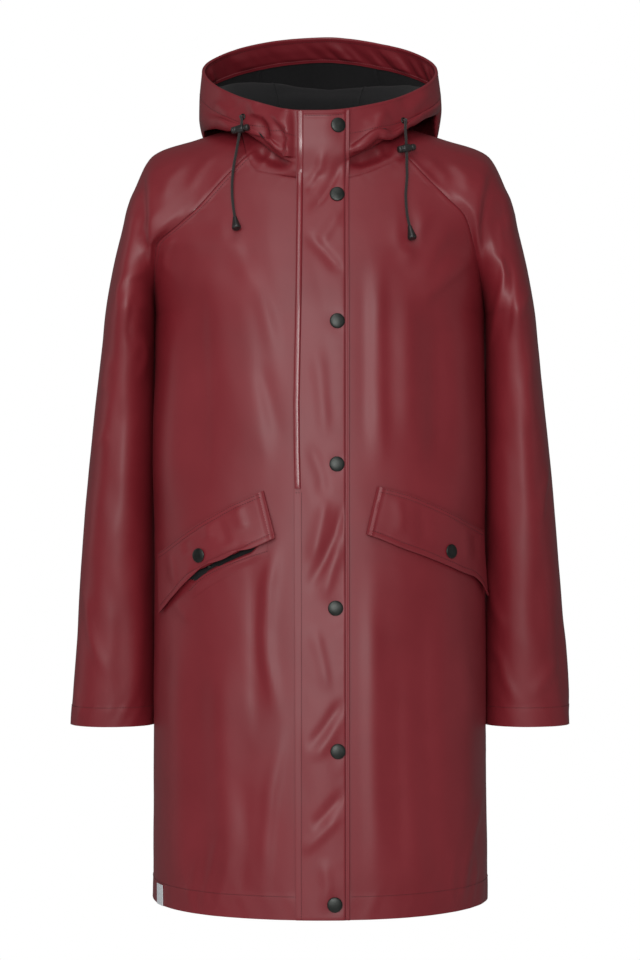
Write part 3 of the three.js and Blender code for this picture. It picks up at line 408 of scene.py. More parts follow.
# Folds of the sleeves: round the sleeve as millimetres from its ridge, negative in front, and up
sleeveFolds = {
    "strength": 0.62,
    "wave": 1.0,
    "left": [
        (3.4, 8, 6, [(-142, -156), (-124, -170), (-76, -182), (-58, -192), (-55, -204), (-68, -214)]),
        (-3.0, 9, 9, [(-120, -190), (-92, -208), (-84, -236), (-96, -262)]),
        (3.2, 7, 9, [(-104, -236), (-115, -256), (-114, -270), (-100, -294)]),
        (3.0, 12, 12, [(-100, -120), (-127, -136), (-136, -156)]),
        (2.8, 12, 13, [(-46, -262), (-40, -285), (-36, -310)]),
        (-3.6, 16, 16, [(-66, -288), (-72, -340), (-64, -400), (-78, -470)]),
        (2.6, 8, 10, [(-14, -366), (-36, -360), (-58, -350)]),
        (2.6, 13, 16, [(-34, -400), (-42, -470), (-30, -520)]),
        (3.0, 6, 8, [(-16, -520), (-36, -546), (-44, -578), (-58, -607), (-70, -626), (-62, -640)]),
        (-2.6, 11, 11, [(-60, -500), (-84, -560), (-86, -640), (-80, -684)]),
        (2.4, 12, 12, [(-108, -480), (-112, -560), (-108, -640), (-112, -686)]),
        (1.6, 6, 8, [(-14, -640), (-30, -660), (-36, -684)]),
        (-2.8, 14, 14, [(0, -420), (4, -500), (2, -590), (6, -686)]),
        (2.6, 10, 14, [(40, -230), (62, -300), (58, -360)]),
        (-3.0, 13, 13, [(90, -200), (78, -280), (86, -380)]),
        (3.0, 10, 12, [(104, -330), (80, -400), (60, -450)]),
        (-2.6, 12, 12, [(50, -420), (70, -500), (60, -600)]),
        (2.8, 9, 11, [(100, -470), (78, -530), (84, -610), (70, -684)]),
        (2.0, 9, 12, [(30, -150), (46, -190), (60, -230)]),
    ],
    "right": [
        (3.8, 6, 9, [
            (-148, -142), (-137, -149), (-114, -156), (-99, -163),
            (-97, -175), (-106, -205), (-120, -242), (-140, -268),
        ]),
        (-3.4, 9, 12, [(-90, -150), (-78, -176), (-84, -212), (-100, -256)]),
        (2.6, 8, 10, [(-24, -184), (-57, -210), (-84, -230)]),
        (2.2, 9, 9, [(-122, -146), (-100, -140), (-76, -136)]),
        (3.0, 12, 12, [(-46, -250), (-58, -300), (-52, -352)]),
        (-2.8, 14, 14, [(-86, -280), (-92, -340), (-86, -420), (-94, -500)]),
        (2.4, 5, 8, [(-18, -376), (-40, -420), (-50, -462)]),
        (3.0, 12, 14, [(-118, -340), (-122, -410), (-122, -486)]),
        (-2.6, 12, 12, [(-46, -480), (-60, -540), (-56, -600)]),
        (3.2, 7, 8, [(-144, -489), (-123, -545), (-110, -568), (-126, -586)]),
        (2.8, 6, 7, [(-128, -584), (-110, -610), (-104, -632), (-92, -654), (-80, -668)]),
        (2.4, 7, 9, [(-30, -606), (-54, -634), (-76, -658)]),
        (-2.4, 10, 10, [(-20, -520), (-26, -600), (-20, -684)]),
        (2.2, 9, 9, [(-6, -560), (-2, -620), (4, -684)]),
        (2.6, 10, 14, [(40, -236), (60, -306), (54, -372)]),
        (-3.0, 13, 13, [(88, -206), (76, -290), (84, -376)]),
        (3.0, 10, 12, [(106, -338), (84, -398), (64, -456)]),
        (-2.6, 12, 12, [(48, -430), (72, -506), (62, -596)]),
        (2.8, 9, 11, [(98, -480), (80, -540), (82, -606), (72, -684)]),
        (2.0, 9, 12, [(28, -146), (44, -192), (58, -236)]),
    ],
}


# Creases over the shoulders, as seen from the front: across and up
shoulderCreases = {
    "left": [
        (5.5, 30, 3.5, [(-198, -38), (-190, -58), (-187, -88), (-186, -118), (-186, -150), (-187, -176)]),
        (2.4, 8, 10, [(-204, -70), (-214, -100), (-208, -130)]),
        (-2.0, 9, 9, [(-206, -104), (-202, -126), (-196, -150)]),
        (1.4, 6, 8, [(-150, -44), (-168, -70), (-178, -98)]),
        (1.2, 6, 6, [(-118, -36), (-136, -60), (-150, -84)]),
    ],
    "right": [
        (5.5, 3.5, 30, [(194, -38), (181, -64), (175, -90), (172, -118), (174, -146), (178, -170)]),
        (2.6, 10, 8, [(206, -70), (214, -102), (206, -134)]),
        (-2.0, 9, 9, [(204, -100), (200, -122), (196, -146)]),
        (1.4, 8, 6, [(146, -44), (160, -64), (166, -86)]),
        (1.2, 6, 6, [(118, -40), (134, -58), (146, -76)]),
    ],
}
cordWays = np.array([
    [(-87, 3), (-89, -13), (-93, -38), (-98, -68), (-98, -93), (-95, -130)],
    [(94, 0), (96, -20), (97, -45), (97, -65), (95, -88), (99, -140)],
], float)


def clearOfCords(x, z):
    # 1 away from the cords and 0 under them, where the cloth isn't lifted into them
    nearest = np.full(np.shape(x), np.inf)
    for way in cordWays:
        for start, end in zip(way, way[1:]):
            along = (end - start) / np.linalg.norm(end - start)
            dx, dy = x - start[0], z - start[1]
            share = np.clip(dx * along[0] + dy * along[1], 0, np.linalg.norm(end - start))
            nearest = np.minimum(nearest, np.hypot(dx - share * along[0], dy - share * along[1]))
    return ease(3, 16, nearest)


def frontHeight(x, z):
    # lower beside the storm flap, which holds the cloth
    height = frontFolds["strength"] * foldHeight(frontFolds["folds"], x, z)
    height += frontFolds["wave"] * waviness(x, z, 3)
    height *= 1 - 0.75 * (ease(-60, -34, x) * (1 - ease(40, 62, x)))
    return np.where(height > 0, height * clearOfCords(x, z), height)


def backHeight(x, z):
    height = backFolds["strength"] * foldHeight(backFolds["folds"], x, z)
    return height + backFolds["wave"] * waviness(x + 500, z, 13)


def freeOfSeams(from0, to0, places, levels):
    # 0 on the side seams and at the neck, where the cloth is held, and 1 away from them
    return (1 - ease(from0, to0, np.abs(places))) * (1 - ease(-56, -42, levels))[:, None]


def bodySurface(face, s, levels):
    bare = lambda a, b: bareBody(face, a, b)
    points = bare(s, levels)
    flip = 1 if face == "front" else -1
    normals = normalsOf(bare, np.clip(s, -0.999, 0.999), levels, flip, 0.0008, 0.4)
    height = (frontHeight if face == "front" else backHeight)(points[..., 0], points[..., 2])
    return points + normals * (height * freeOfSeams(0.93, 0.997, s, levels))[..., None]


def sleeveSurface(side, w, levels):
    bare = lambda a, b: bareSleeve(side, a, b)
    points = bare(w, levels)
    flip = -1 if side == "left" else 1
    normals = normalsOf(bare, np.clip(w, -0.998, 0.998), levels, flip, 0.0015, 0.4)
    around = w * sleeves["unitAround"]
    up = np.broadcast_to(levels[:, None], w.shape)
    height = sleeveFolds["strength"] * foldHeight(sleeveFolds[side], around, up)
    height = height + sleeveFolds["wave"] * waviness(around, up, 23 if side == "left" else 33)
    creases = foldHeight(shoulderCreases[side], points[..., 0], points[..., 2])
    height = height + creases * (1 - ease(-0.12, 0.02, w)) * ease(-232, -204, levels)[:, None]
    return points + normals * (height * freeOfSeams(0.9, 0.995, w, levels))[..., None]


def frontSpots(x, z):
    # points of the front and their normals, from how far across they are and their level
    x, z = np.broadcast_arrays(np.asarray(x, float), np.asarray(z, float))
    levels = z.ravel()
    s = acrossAt(levels, x.ravel())
    surface = lambda a, b: bodySurface("front", a, b)
    points = surface(s, levels)[:, 0]
    normals = normalsOf(surface, s, levels, 1, 0.001, 0.5)[:, 0]
    return points.reshape(*x.shape, 3), normals.reshape(*x.shape, 3)


# Finishes: node groups first, then one material for each


def newGroup(name, inputs, outputs):
    group = bpy.data.node_groups.new(name, "ShaderNodeTree")
    for label, value in inputs:
        socket = group.interface.new_socket(name=label, in_out="INPUT", socket_type="NodeSocketFloat")
        socket.default_value = value
    for label, kind in outputs:
        group.interface.new_socket(name=label, in_out="OUTPUT", socket_type=kind)
    return group, group.nodes.new("NodeGroupInput"), group.nodes.new("NodeGroupOutput")


def mathNode(nodes, links, operation, a, b):
    node = nodes.new("ShaderNodeMath")
    node.operation = operation
    for socket, value in zip(node.inputs, (a, b)):
        if isinstance(value, (int, float)):
            socket.default_value = value
        else:
            links.new(value, socket)
    return node.outputs[0]


def noiseNode(nodes, links, vector, scale, detail, roughness=0.5):
    node = nodes.new("ShaderNodeTexNoise")
    node.inputs["Detail"].default_value = detail
    node.inputs["Roughness"].default_value = roughness
    if isinstance(scale, (int, float)):
        node.inputs["Scale"].default_value = scale
    else:
        links.new(scale, node.inputs["Scale"])
    links.new(vector, node.inputs["Vector"])
    return node.outputs["Fac"]


def grainGroup():
    # fine surface grain and slow patches, from object coordinates
    inputs = [("Grain Scale", 1400), ("Patch Scale", 14), ("Grain Height", 1.0)]
    outputs = [("Height", "NodeSocketFloat"), ("Patches", "NodeSocketFloat"), ("Fine", "NodeSocketFloat")]
    group, start, end = newGroup("grain", inputs, outputs)
    nodes, links = group.nodes, group.links
    place = nodes.new("ShaderNodeTexCoord").outputs["Object"]
    fine = noiseNode(nodes, links, place, start.outputs["Grain Scale"], 3, 0.6)
    patches = noiseNode(nodes, links, place, start.outputs["Patch Scale"], 4, 0.55)
    coarser = mathNode(nodes, links, "MULTIPLY", start.outputs["Grain Scale"], 0.14)
    coarse = mathNode(nodes, links, "MULTIPLY", noiseNode(nodes, links, place, coarser, 2), 0.8)
    both = mathNode(nodes, links, "ADD", fine, coarse)
    height = mathNode(nodes, links, "MULTIPLY", both, start.outputs["Grain Height"])
    links.new(height, end.inputs["Height"])
    links.new(patches, end.inputs["Patches"])
    links.new(fine, end.inputs["Fine"])
    return group


def knitGroup():
    # the loops of a fine knit: two crossed rows of waves, a little broken up
    inputs = [("Loops", 620), ("Uneven", 0.35)]
    outputs = [("Height", "NodeSocketFloat"), ("Fuzz", "NodeSocketFloat")]
    group, start, end = newGroup("knit", inputs, outputs)
    nodes, links = group.nodes, group.links
    place = nodes.new("ShaderNodeTexCoord").outputs["Object"]
    waves = []
    for direction in ("X", "Z"):
        wave = nodes.new("ShaderNodeTexWave")
        wave.bands_direction = direction
        wave.inputs["Distortion"].default_value = 2.2
        wave.inputs["Detail"].default_value = 1
        links.new(start.outputs["Loops"], wave.inputs["Scale"])
        links.new(place, wave.inputs["Vector"])
        waves.append(wave.outputs["Fac"])
    loops = mathNode(nodes, links, "MULTIPLY", waves[0], waves[1])
    fuzz = noiseNode(nodes, links, place, 900, 4, 0.65)
    uneven = mathNode(nodes, links, "MULTIPLY", fuzz, start.outputs["Uneven"])
    links.new(mathNode(nodes, links, "ADD", loops, uneven), end.inputs["Height"])
    links.new(fuzz, end.inputs["Fuzz"])
    return group


grain = grainGroup()
knit = knitGroup()


def colourBetween(nodes, links, factor, low, high):
    ramp = nodes.new("ShaderNodeValToRGB")
    ramp.color_ramp.elements[0].position = 0.3
    ramp.color_ramp.elements[1].position = 0.7
    ramp.color_ramp.elements[0].color = (*low, 1)
    ramp.color_ramp.elements[1].color = (*high, 1)
    links.new(factor, ramp.inputs["Fac"])
    return ramp.outputs["Color"]


def remap(nodes, links, value, low, high):
    node = nodes.new("ShaderNodeMapRange")
    node.inputs["To Min"].default_value = low
    node.inputs["To Max"].default_value = high
    links.new(value, node.inputs["Value"])
    return node.outputs["Result"]


def bump(nodes, links, shader, height, distance, strength):
    node = nodes.new("ShaderNodeBump")
    node.inputs["Distance"].default_value = distance
    node.inputs["Strength"].default_value = strength
    links.new(height, node.inputs["Height"])
    links.new(node.outputs["Normal"], shader.inputs["Normal"])


burgundy = ((0.172, 0.0110, 0.0175), (0.200, 0.0150, 0.0225))
# the node group with its inputs, the output that mixes the two colours, the colours, one roughness or two
# that it varies between, the bump's depth in metres and its strength, and other inputs of the shader
finishes = {
    "coatedBurgundy": (grain, (1500, 11, 1.0), "Patches", burgundy, (0.42, 0.5), (0.00004, 0.5), {
        "Specular IOR Level": 0.44,
    }),
    "stretchedBurgundy": (grain, (1500, 11, 1.0), "Patches", burgundy, (0.2, 0.28), (0.00004, 0.5), {
        "Specular IOR Level": 0.44,
    }),
    "liningKnit": (knit, (620, 0.4), "Fuzz", (
        (0.0075, 0.0072, 0.0078), (0.0175, 0.0170, 0.0180),
    ), 0.92, (0.00035, 0.8), {
        "Specular IOR Level": 0.12,
        "Sheen Weight": 0.05,
        "Sheen Roughness": 0.6,
    }),
    "darkThread": (grain, (5200, 60, 1.0), "Fine", (
        (0.035, 0.004, 0.006), (0.075, 0.008, 0.012),
    ), 0.55, (0.0001, 0.6), {
        "Specular IOR Level": 0.4,
    }),
    "paleThread": (grain, (5200, 60, 1.0), "Fine", (
        (0.26, 0.045, 0.055), (0.46, 0.13, 0.145),
    ), 0.55, (0.0001, 0.6), {
        "Specular IOR Level": 0.4,
    }),
    "gunmetal": (grain, (2600, 120, 0.6), "Patches", (
        (0.020, 0.022, 0.020), (0.038, 0.041, 0.038),
    ), (0.3, 0.45), (0.00003, 0.6), {
        "Metallic": 0.8,
    }),
    "blackPlastic": (grain, (2200, 90, 1.0), "Patches", (
        (0.011, 0.010, 0.010), (0.020, 0.018, 0.017),
    ), (0.28, 0.46), (0.00006, 0.6), {}),
    "braidedCord": (grain, (4200, 300, 1.0), "Fine", (
        (0.010, 0.008, 0.008), (0.034, 0.028, 0.027),
    ), 0.8, (0.00012, 0.7), {
        "Specular IOR Level": 0.3,
        "Sheen Weight": 0.15,
    }),
    "paleTape": (knit, (900, 0.2), "Fuzz", (
        (0.60, 0.63, 0.66), (0.74, 0.76, 0.79),
    ), 0.6, (0.00015, 0.6), {}),
}


def newMaterial(name, values):
    material = bpy.data.materials.new(name)
    material.use_nodes = True
    nodes, links = material.node_tree.nodes, material.node_tree.links
    shader = nodes["Principled BSDF"]
    for label, value in values.items():
        shader.inputs[label].default_value = value
    return material, nodes, links, shader


def madeOf(name):
    group, measures, mixer, colours, roughness, depth, values = finishes[name]
    material, nodes, links, shader = newMaterial(name, values)
    node = nodes.new("ShaderNodeGroup")
    node.node_tree = group
    for socket, value in zip(node.inputs, measures):
        socket.default_value = value
    links.new(colourBetween(nodes, links, node.outputs[mixer], *colours), shader.inputs["Base Color"])
    if isinstance(roughness, tuple):
        uneven = remap(nodes, links, node.outputs[mixer], *roughness)
        links.new(uneven, shader.inputs["Roughness"])
    else:
        shader.inputs["Roughness"].default_value = roughness
    bump(nodes, links, shader, node.outputs["Height"], *depth)
    return material


materials = {name: madeOf(name) for name in finishes}
coated, lining, gunmetal = materials["coatedBurgundy"], materials["liningKnit"], materials["gunmetal"]
print("materials made")


# Making of pieces


def newPiece(name, mesh, materials):
    mesh.name = name
    piece = bpy.data.objects.new(name, mesh)
    bpy.context.collection.objects.link(piece)
    for material in materials:
        mesh.materials.append(material)
    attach(piece, "root")
    return piece


def gridMesh(points, normals, weld=0.0):
    # a grid whose points are moved to the given places, facing along the given normals
    rows, columns = points.shape[:2]
    bm = bmesh.new()
    bmesh.ops.create_grid(bm, x_segments=columns - 1, y_segments=rows - 1, size=1)
    mesh = bpy.data.meshes.new("grid")
    bm.to_mesh(mesh)
    flat = np.empty(len(mesh.vertices) * 3)
    mesh.vertices.foreach_get("co", flat)
    flat = flat.reshape(-1, 3)
    j = np.rint((flat[:, 0] + 1) / 2 * (columns - 1)).astype(int)
    i = np.rint((flat[:, 1] + 1) / 2 * (rows - 1)).astype(int)
    mesh.vertices.foreach_set("co", (points[i, j] * mm).ravel())
    bm.clear()
    bm.from_mesh(mesh)
    if weld:
        bmesh.ops.remove_doubles(bm, verts=bm.verts, dist=weld)
    if (gridNormals(points) * normals).sum() < 0:
        bmesh.ops.reverse_faces(bm, faces=bm.faces)
    bm.to_mesh(mesh)
    bm.free()
    return mesh


def applyModifiers(piece, sharp=40):
    depsgraph = bpy.context.evaluated_depsgraph_get()
    done = bpy.data.meshes.new_from_object(piece.evaluated_get(depsgraph), depsgraph=depsgraph)
    done.shade_smooth()
    done.set_sharp_from_angle(angle=math.radians(sharp))
    piece.modifiers.clear()
    old = piece.data
    piece.data = done
    done.name = piece.name
    bpy.data.meshes.remove(old)


def addWall(piece, thickness, round=0.0, rimMaterial=0, thinned=None):
    # thinned holds the share of the thickness that the wall has at each point
    wall = piece.modifiers.new("wall", "SOLIDIFY")
    wall.thickness = thickness * mm
    wall.offset = -1
    wall.use_rim = True
    wall.material_offset = 1
    wall.material_offset_rim = rimMaterial
    if thinned is not None:
        group = piece.vertex_groups.new(name="wall")
        for corner, share in enumerate(thinned):
            group.add([corner], share, "REPLACE")
        wall.vertex_group = group.name
    if round:
        edge = piece.modifiers.new("edge", "BEVEL")
        edge.width = round * mm
        edge.segments = 2
        edge.limit_method = "ANGLE"
        edge.angle_limit = math.radians(50)
    applyModifiers(piece)


def clothPiece(key, name, points, normals, node, thickness, outside=coated, inside=coated, weld=0, **wall):
    piece = newPiece(name, gridMesh(points, normals, weld), [outside, inside])
    addWall(piece, thickness, **wall)
    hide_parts(node)
    print(name, "made,", len(piece.data.polygons), "faces")


clothWall = 1.6
seamColumns = [0, 0.6, 1.2, 1.8, 2.6, 3.6, 4.6, 5.4, 6.0, 6.6, 7.4, 8.6, 10.5, 13]


def sharesFromSeam(length, step):
    # places across a panel from its seam, close together at the seam, as shares of the whole
    rest = np.arange(13 + step, length, step)
    return np.concatenate([seamColumns, rest, [length]]) / length


bodyLevels = np.concatenate([np.linspace(hem, underarm, 168), np.linspace(underarm, neckLevel, 74)[1:]])
upperLevels = bodyLevels[bodyLevels >= underarm]
sleeveLevels = np.concatenate([np.linspace(cuff, underarm, 120)[:-1], upperLevels])
hemStitch = 25
cuffStitch = 22
raglanStitches = (1.6, 6.0)


def turnedEdge(distance, along, stitchAt, seed):
    # the doubled band at a hem, its stitched line and the slanted ripples that it pulls up
    band = 0.45 * (1 - ease(stitchAt - 0.6, stitchAt + 1.2, distance))
    ripples = softNoise(along + distance * 0.5, distance * 0.3, 9, 40, seed) * 0.45
    fade = hump(distance - stitchAt * 0.7, stitchAt * 0.9)
    return band - 0.4 * hump(distance - stitchAt, 0.9) + ripples * fade


def panelRelief(points, seams, seed, levels, seamAt, stitchAt):
    height = np.zeros(points.shape[:2])
    for distance, along, stitches in seams:
        height += seamRelief(distance, along, seed, stitches)
    # no relief on the seam itself where body and sleeve meet at a sharp angle
    height *= 1 - (1 - ease(-165, -105, levels))[:, None] * (1 - ease(2, 9, seamAt))
    fromHem = levels[:, None] - levels[0] + seamAt * 0
    return height + turnedEdge(fromHem, lengthAcross(points), stitchAt, seed + 7)


# How far the neck seam sits lower than the tables have it: places across and drops
neckDrops = [
    (-92, 0), (-80, 0.5), (-73, 6), (-65, 9.5), (-50, 7.5), (-26, 3.8),
    (-10, 4), (34, 4.2), (52, 3), (74, 1), (92, 0),
]


def lowerNeck(points, levels):
    # rows near the neck drawn down along the cloth itself
    across, drops = np.array(neckDrops, float).T
    lowered = points.copy()
    for column in range(points.shape[1]):
        drop = np.interp(points[-1, column, 0], across, drops, 0, 0) * ease(-100, neckLevel, levels)
        for k in range(3):
            lowered[:, column, k] = np.interp(levels - drop, levels, points[:, column, k])
    return lowered


def panelGrid(face, side):
    # the front of one side from its seam to the zip, or the whole back from seam to seam
    levels = bodyLevels
    if face == "front":
        edge = acrossAt(levels, zipAcross)
        shares = sharesFromSeam(300 if side == "left" else 345, 3.9)
        end = -1.0 if side == "left" else 1.0
        s = end + (edge - end) * shares[None, :]
        points = lowerNeck(bodySurface("front", s, levels), levels)
        seamAt = lengthAcross(points)
    else:
        half = sharesFromSeam(330, 5.0) - 1
        s = np.concatenate([half, -half[::-1][1:]])[None, :] * np.ones((len(levels), 1))
        points = bodySurface("back", s, levels)
        fromLeft = lengthAcross(points)
        seamAt = np.minimum(fromLeft, fromLeft[:, -1:] - fromLeft)
    along = lengthUp(points)
    upper = (levels > underarm)[:, None]
    seams = [
        (np.where(upper, seamAt, 1e3), along, raglanStitches),
        (np.where(upper, 1e3, seamAt), along, ()),
        (along[-1:] - along, lengthAcross(points), ()),
    ]
    height = panelRelief(points, seams, {"left": 41, "right": 47, "": 53}[side], levels, seamAt, hemStitch)
    normals = gridNormals(points)
    if (normals[:, :, 1].mean() < 0) != (face == "front"):
        normals = -normals
    return points + normals * height[..., None], normals


def sleeveGrid(side):
    # the whole way round, with its columns close together along the ridge
    shares = sharesFromSeam(170, 3.4)
    w = np.concatenate([-shares[::-1], shares[:-1]])[None, :] * np.ones((len(sleeveLevels), 1))
    points = sleeveSurface(side, w, sleeveLevels)
    across = lengthAcross(points)
    seamAt = np.minimum(across, across[:, -1:] - across)
    along = lengthUp(points)
    upper = (sleeveLevels > underarm)[:, None]
    seams = [
        (np.where(upper, seamAt, 1e3), along, ()),
        (along[-1:] - along, across, ()),
    ]
    seed = 61 if side == "left" else 67
    height = panelRelief(points, seams, seed, sleeveLevels, seamAt, cuffStitch)
    height *= np.where(upper, 1, ease(0, 4, seamAt))
    normals = gridNormals(points) * (-1 if side == "left" else 1)
    return points + normals * height[..., None], normals


panels = {
    "frontLeft": panelGrid("front", "left"),
    "frontRight": panelGrid("front", "right"),
    "back": panelGrid("back", ""),
    "sleeveLeft": sleeveGrid("left"),
    "sleeveRight": sleeveGrid("right"),
}
nodeOf = {
    "frontLeft": "front_left",
    "frontRight": "front_right",
    "back": "back",
    "sleeveLeft": "sleeve_left",
    "sleeveRight": "sleeve_right",
}
for name, (points, normals) in panels.items():
    weld = 1e-5 if "sleeve" in name else 0
    clothPiece(name, name + "Cloth", points, normals, nodeOf[name], clothWall, inside=lining, weld=weld)


# The hood

hood = {
    # from the neck up and over the slack fold, down to the bottom of the pouch behind, and up to the edge:
    # front (y, z), side (x, y, z), back (y, z), slope, lift of the right side, fullness
    "loops": [
        ((-101, -62), (98, 5, 22), (84, 36), 0.1, 0, 1.62),
        ((-102, -56), (115, 12, 48), (97, 60), 0.1, 0, 1.62),
        ((-103, -51), (127, 15, 20), (117, 20), 0.1, 5, 1.62),
        ((-104, -45), (134, 17, -4), (152, -96), 0.1, 12, 1.62),
        ((-105, -39), (140, 18, 12), (182, 0), 0.1, 8, 1.6),
        ((-106, -33), (139.5, 19, 34), (156, 90), 0.3, 2, 1.5),
        ((-105, 4), (136, 20, 69), (130, 125), 0.5, 0, 1.42),
    ],
    "rows": [8, 10, 14, 22, 22, 22, 22],
    "columns": 300,
    # how far from the middle line the front is held by the storm flap, and from where it is free
    "heldTo": 32,
    "freeFrom": 80,
    "wave": 0.9,
    # how far the roll in front comes forward, and the layers inside it go back
    "rollForward": 6,
    "layersBack": 6,
    # how far the roll's underside is lifted: places across and lifts
    "rollLift": [
        (-134, 2), (-118, 10), (-104, 12), (-88, 15), (-66, 13), (-50, 3), (-40, 0), (36, 0),
        (50, 5), (64, 10), (80, 3), (88, 4), (101, 9), (116, 12), (132, 10),
    ],
    # the same for the slack layer behind
    "slackLift": [(-120, 6), (-80, 7), (-50, 5), (-20, 0), (10, -2), (40, -1), (70, 2), (120, 3)],
    # the level that the bottom hangs down to at the sides
    "sideSag": -12,
    # half the width of the strip between the two sides
    "stripHalf": 53,
    "stripStitch": 2.0,
    "hemStitch": 27,
    # first and last row of the layer, whether it is behind, and its folds as seen from the front
    "folds": [
        (0.0, 2.4, False, [
            (-5.5, 6, 8, [(86, -30), (66, -41), (48, -48), (28, -52)]),
            (2.0, 4, 4, [(64, -28), (70, -38), (72, -48)]),
            (-5.0, 8, 6, [(-28, -52), (-46, -47), (-60, -42), (-76, -30)]),
            (2.2, 3, 4, [(-52, -34), (-59, -43), (-65, -56)]),
        ]),
        (3.7, 7.6, False, [
            (8.0, 17, 4, [(-56, 10), (-44, -2), (-35, -14), (-31.5, -27), (-35, -41), (-44, -62)]),
            (5.0, 11, 4, [(-88, 3), (-74, 7), (-61, 1.5), (-53.5, -9), (-51.5, -20.8), (-53.2, -34)]),
            (2.6, 5, 3, [(-52, -34), (-57, -47), (-62, -62)]),
            (-3.2, 6, 6, [(-70, -2), (-62, -12), (-61, -28)]),
            (1.8, 5, 6, [(-122, 26), (-108, 12), (-96, 6)]),
            (1.6, 5, 7, [(-118, 6), (-104, -6), (-92, -12)]),
            (-1.6, 7, 7, [(-112, 44), (-98, 26), (-88, 16)]),
            (1.5, 6, 6, [(-82, 30), (-74, 20), (-66, 12)]),
            (4.0, 11, 6, [(78, 10), (66, -2), (65, -11), (72, -18), (84, -22)]),
            (4.0, 8, 7, [(34, -42), (48, -34), (57, -20), (60, -8)]),
            (3.0, 5, 5, [(34, -54), (50, -50), (66, -44), (82, -34)]),
            (-1.8, 4, 4, [(48, -52), (64, -45), (78, -40)]),
            (2.2, 7, 7, [(96, 6), (114, 26), (126, 40)]),
            (1.8, 6, 8, [(100, -10), (112, -6), (124, 4)]),
            (-1.6, 7, 7, [(88, 14), (98, 30), (112, 50)]),
            (1.6, 6, 6, [(52, 2), (58, -10), (56, -24)]),
        ]),
        (3.6, 7.6, True, [
            (3.0, 14, 18, [(-96, 66), (-90, 20), (-84, -36)]),
            (-2.6, 12, 14, [(-58, 100), (-52, 40), (-50, -50)]),
            (2.8, 14, 14, [(-14, 110), (-10, 40), (-12, -60)]),
            (-2.4, 12, 12, [(30, 108), (32, 30), (28, -60)]),
            (3.0, 14, 16, [(72, 90), (76, 30), (70, -44)]),
            (2.2, 8, 12, [(112, 60), (104, 24), (98, -8)]),
            (2.4, 7, 12, [(-60, 4), (-20, -14), (26, -12), (64, 6)]),
            (-2.0, 8, 9, [(-70, 44), (-26, 30), (30, 30), (74, 46)]),
        ]),
        (1.4, 3.4, True, [
            (2.2, 8, 10, [(-80, 40), (-30, 54), (30, 52), (84, 42)]),
            (-1.8, 8, 8, [(-60, 24), (-10, 34), (50, 28)]),
        ]),
    ],
}


def loopQuarters(loop):
    (frontY, frontZ), side, (backY, backZ), slope, liftRight, around = loop
    t = np.linspace(0, 1, 81)
    front, back = np.array([0, frontY, frontZ], float), np.array([0, backY, backZ], float)
    quarters = []
    for name, toBack in (("right", False), ("right", True), ("left", True), ("left", False)):
        flank = np.array(side, float) + (0, 0, liftRight if name == "right" else 0)
        reach = abs((back if toBack else front)[1] - flank[1]) * around
        across = np.array([0, reach, reach * slope])
        pull = np.array([side[0] * around, 0, 0])
        curve = sweep(flank, across, back, -pull, t) if toBack else sweep(front, pull, flank, across, t)
        if name == "left":
            curve = (curve * (-1, 1, 1))[::-1]
        quarters.append(curve)
    return quarters


def lengthsOf(line):
    return np.concatenate([[0], np.cumsum(np.linalg.norm(np.diff(line, axis=0), axis=1))])


def atLengths(line, lengths, wanted):
    return np.stack([np.interp(wanted, lengths, line[:, k]) for k in range(3)], -1)


def atShares(samples, shares):
    lengths = lengthsOf(samples)
    return atLengths(samples, lengths, shares * lengths[-1])


def neckLine():
    # the top edges of the panels, from the zip over the right side back to the zip
    top = lambda name: panels[name][0][-1]
    parts = [
        top("frontRight")[::-1],
        top("sleeveRight"),
        top("back")[::-1],
        top("sleeveLeft")[::-1],
        top("frontLeft"),
    ]
    line = np.concatenate([part if k == 0 else part[1:] for k, part in enumerate(parts)])
    lengths = lengthsOf(line)
    ridges = [np.abs(line[:, 0] - x).argmin() for x in (92, -92)]
    frontRight = np.argmax(line[:, 0] > 0)
    backMiddle = np.where(line[:, 1] > 0, np.abs(line[:, 0]), 1e9).argmin()
    marks = lengths[[frontRight, ridges[0], backMiddle, ridges[1], len(line) - 1]]
    return line, lengths, marks


neckPoints, neckLengths, neckMarks = neckLine()


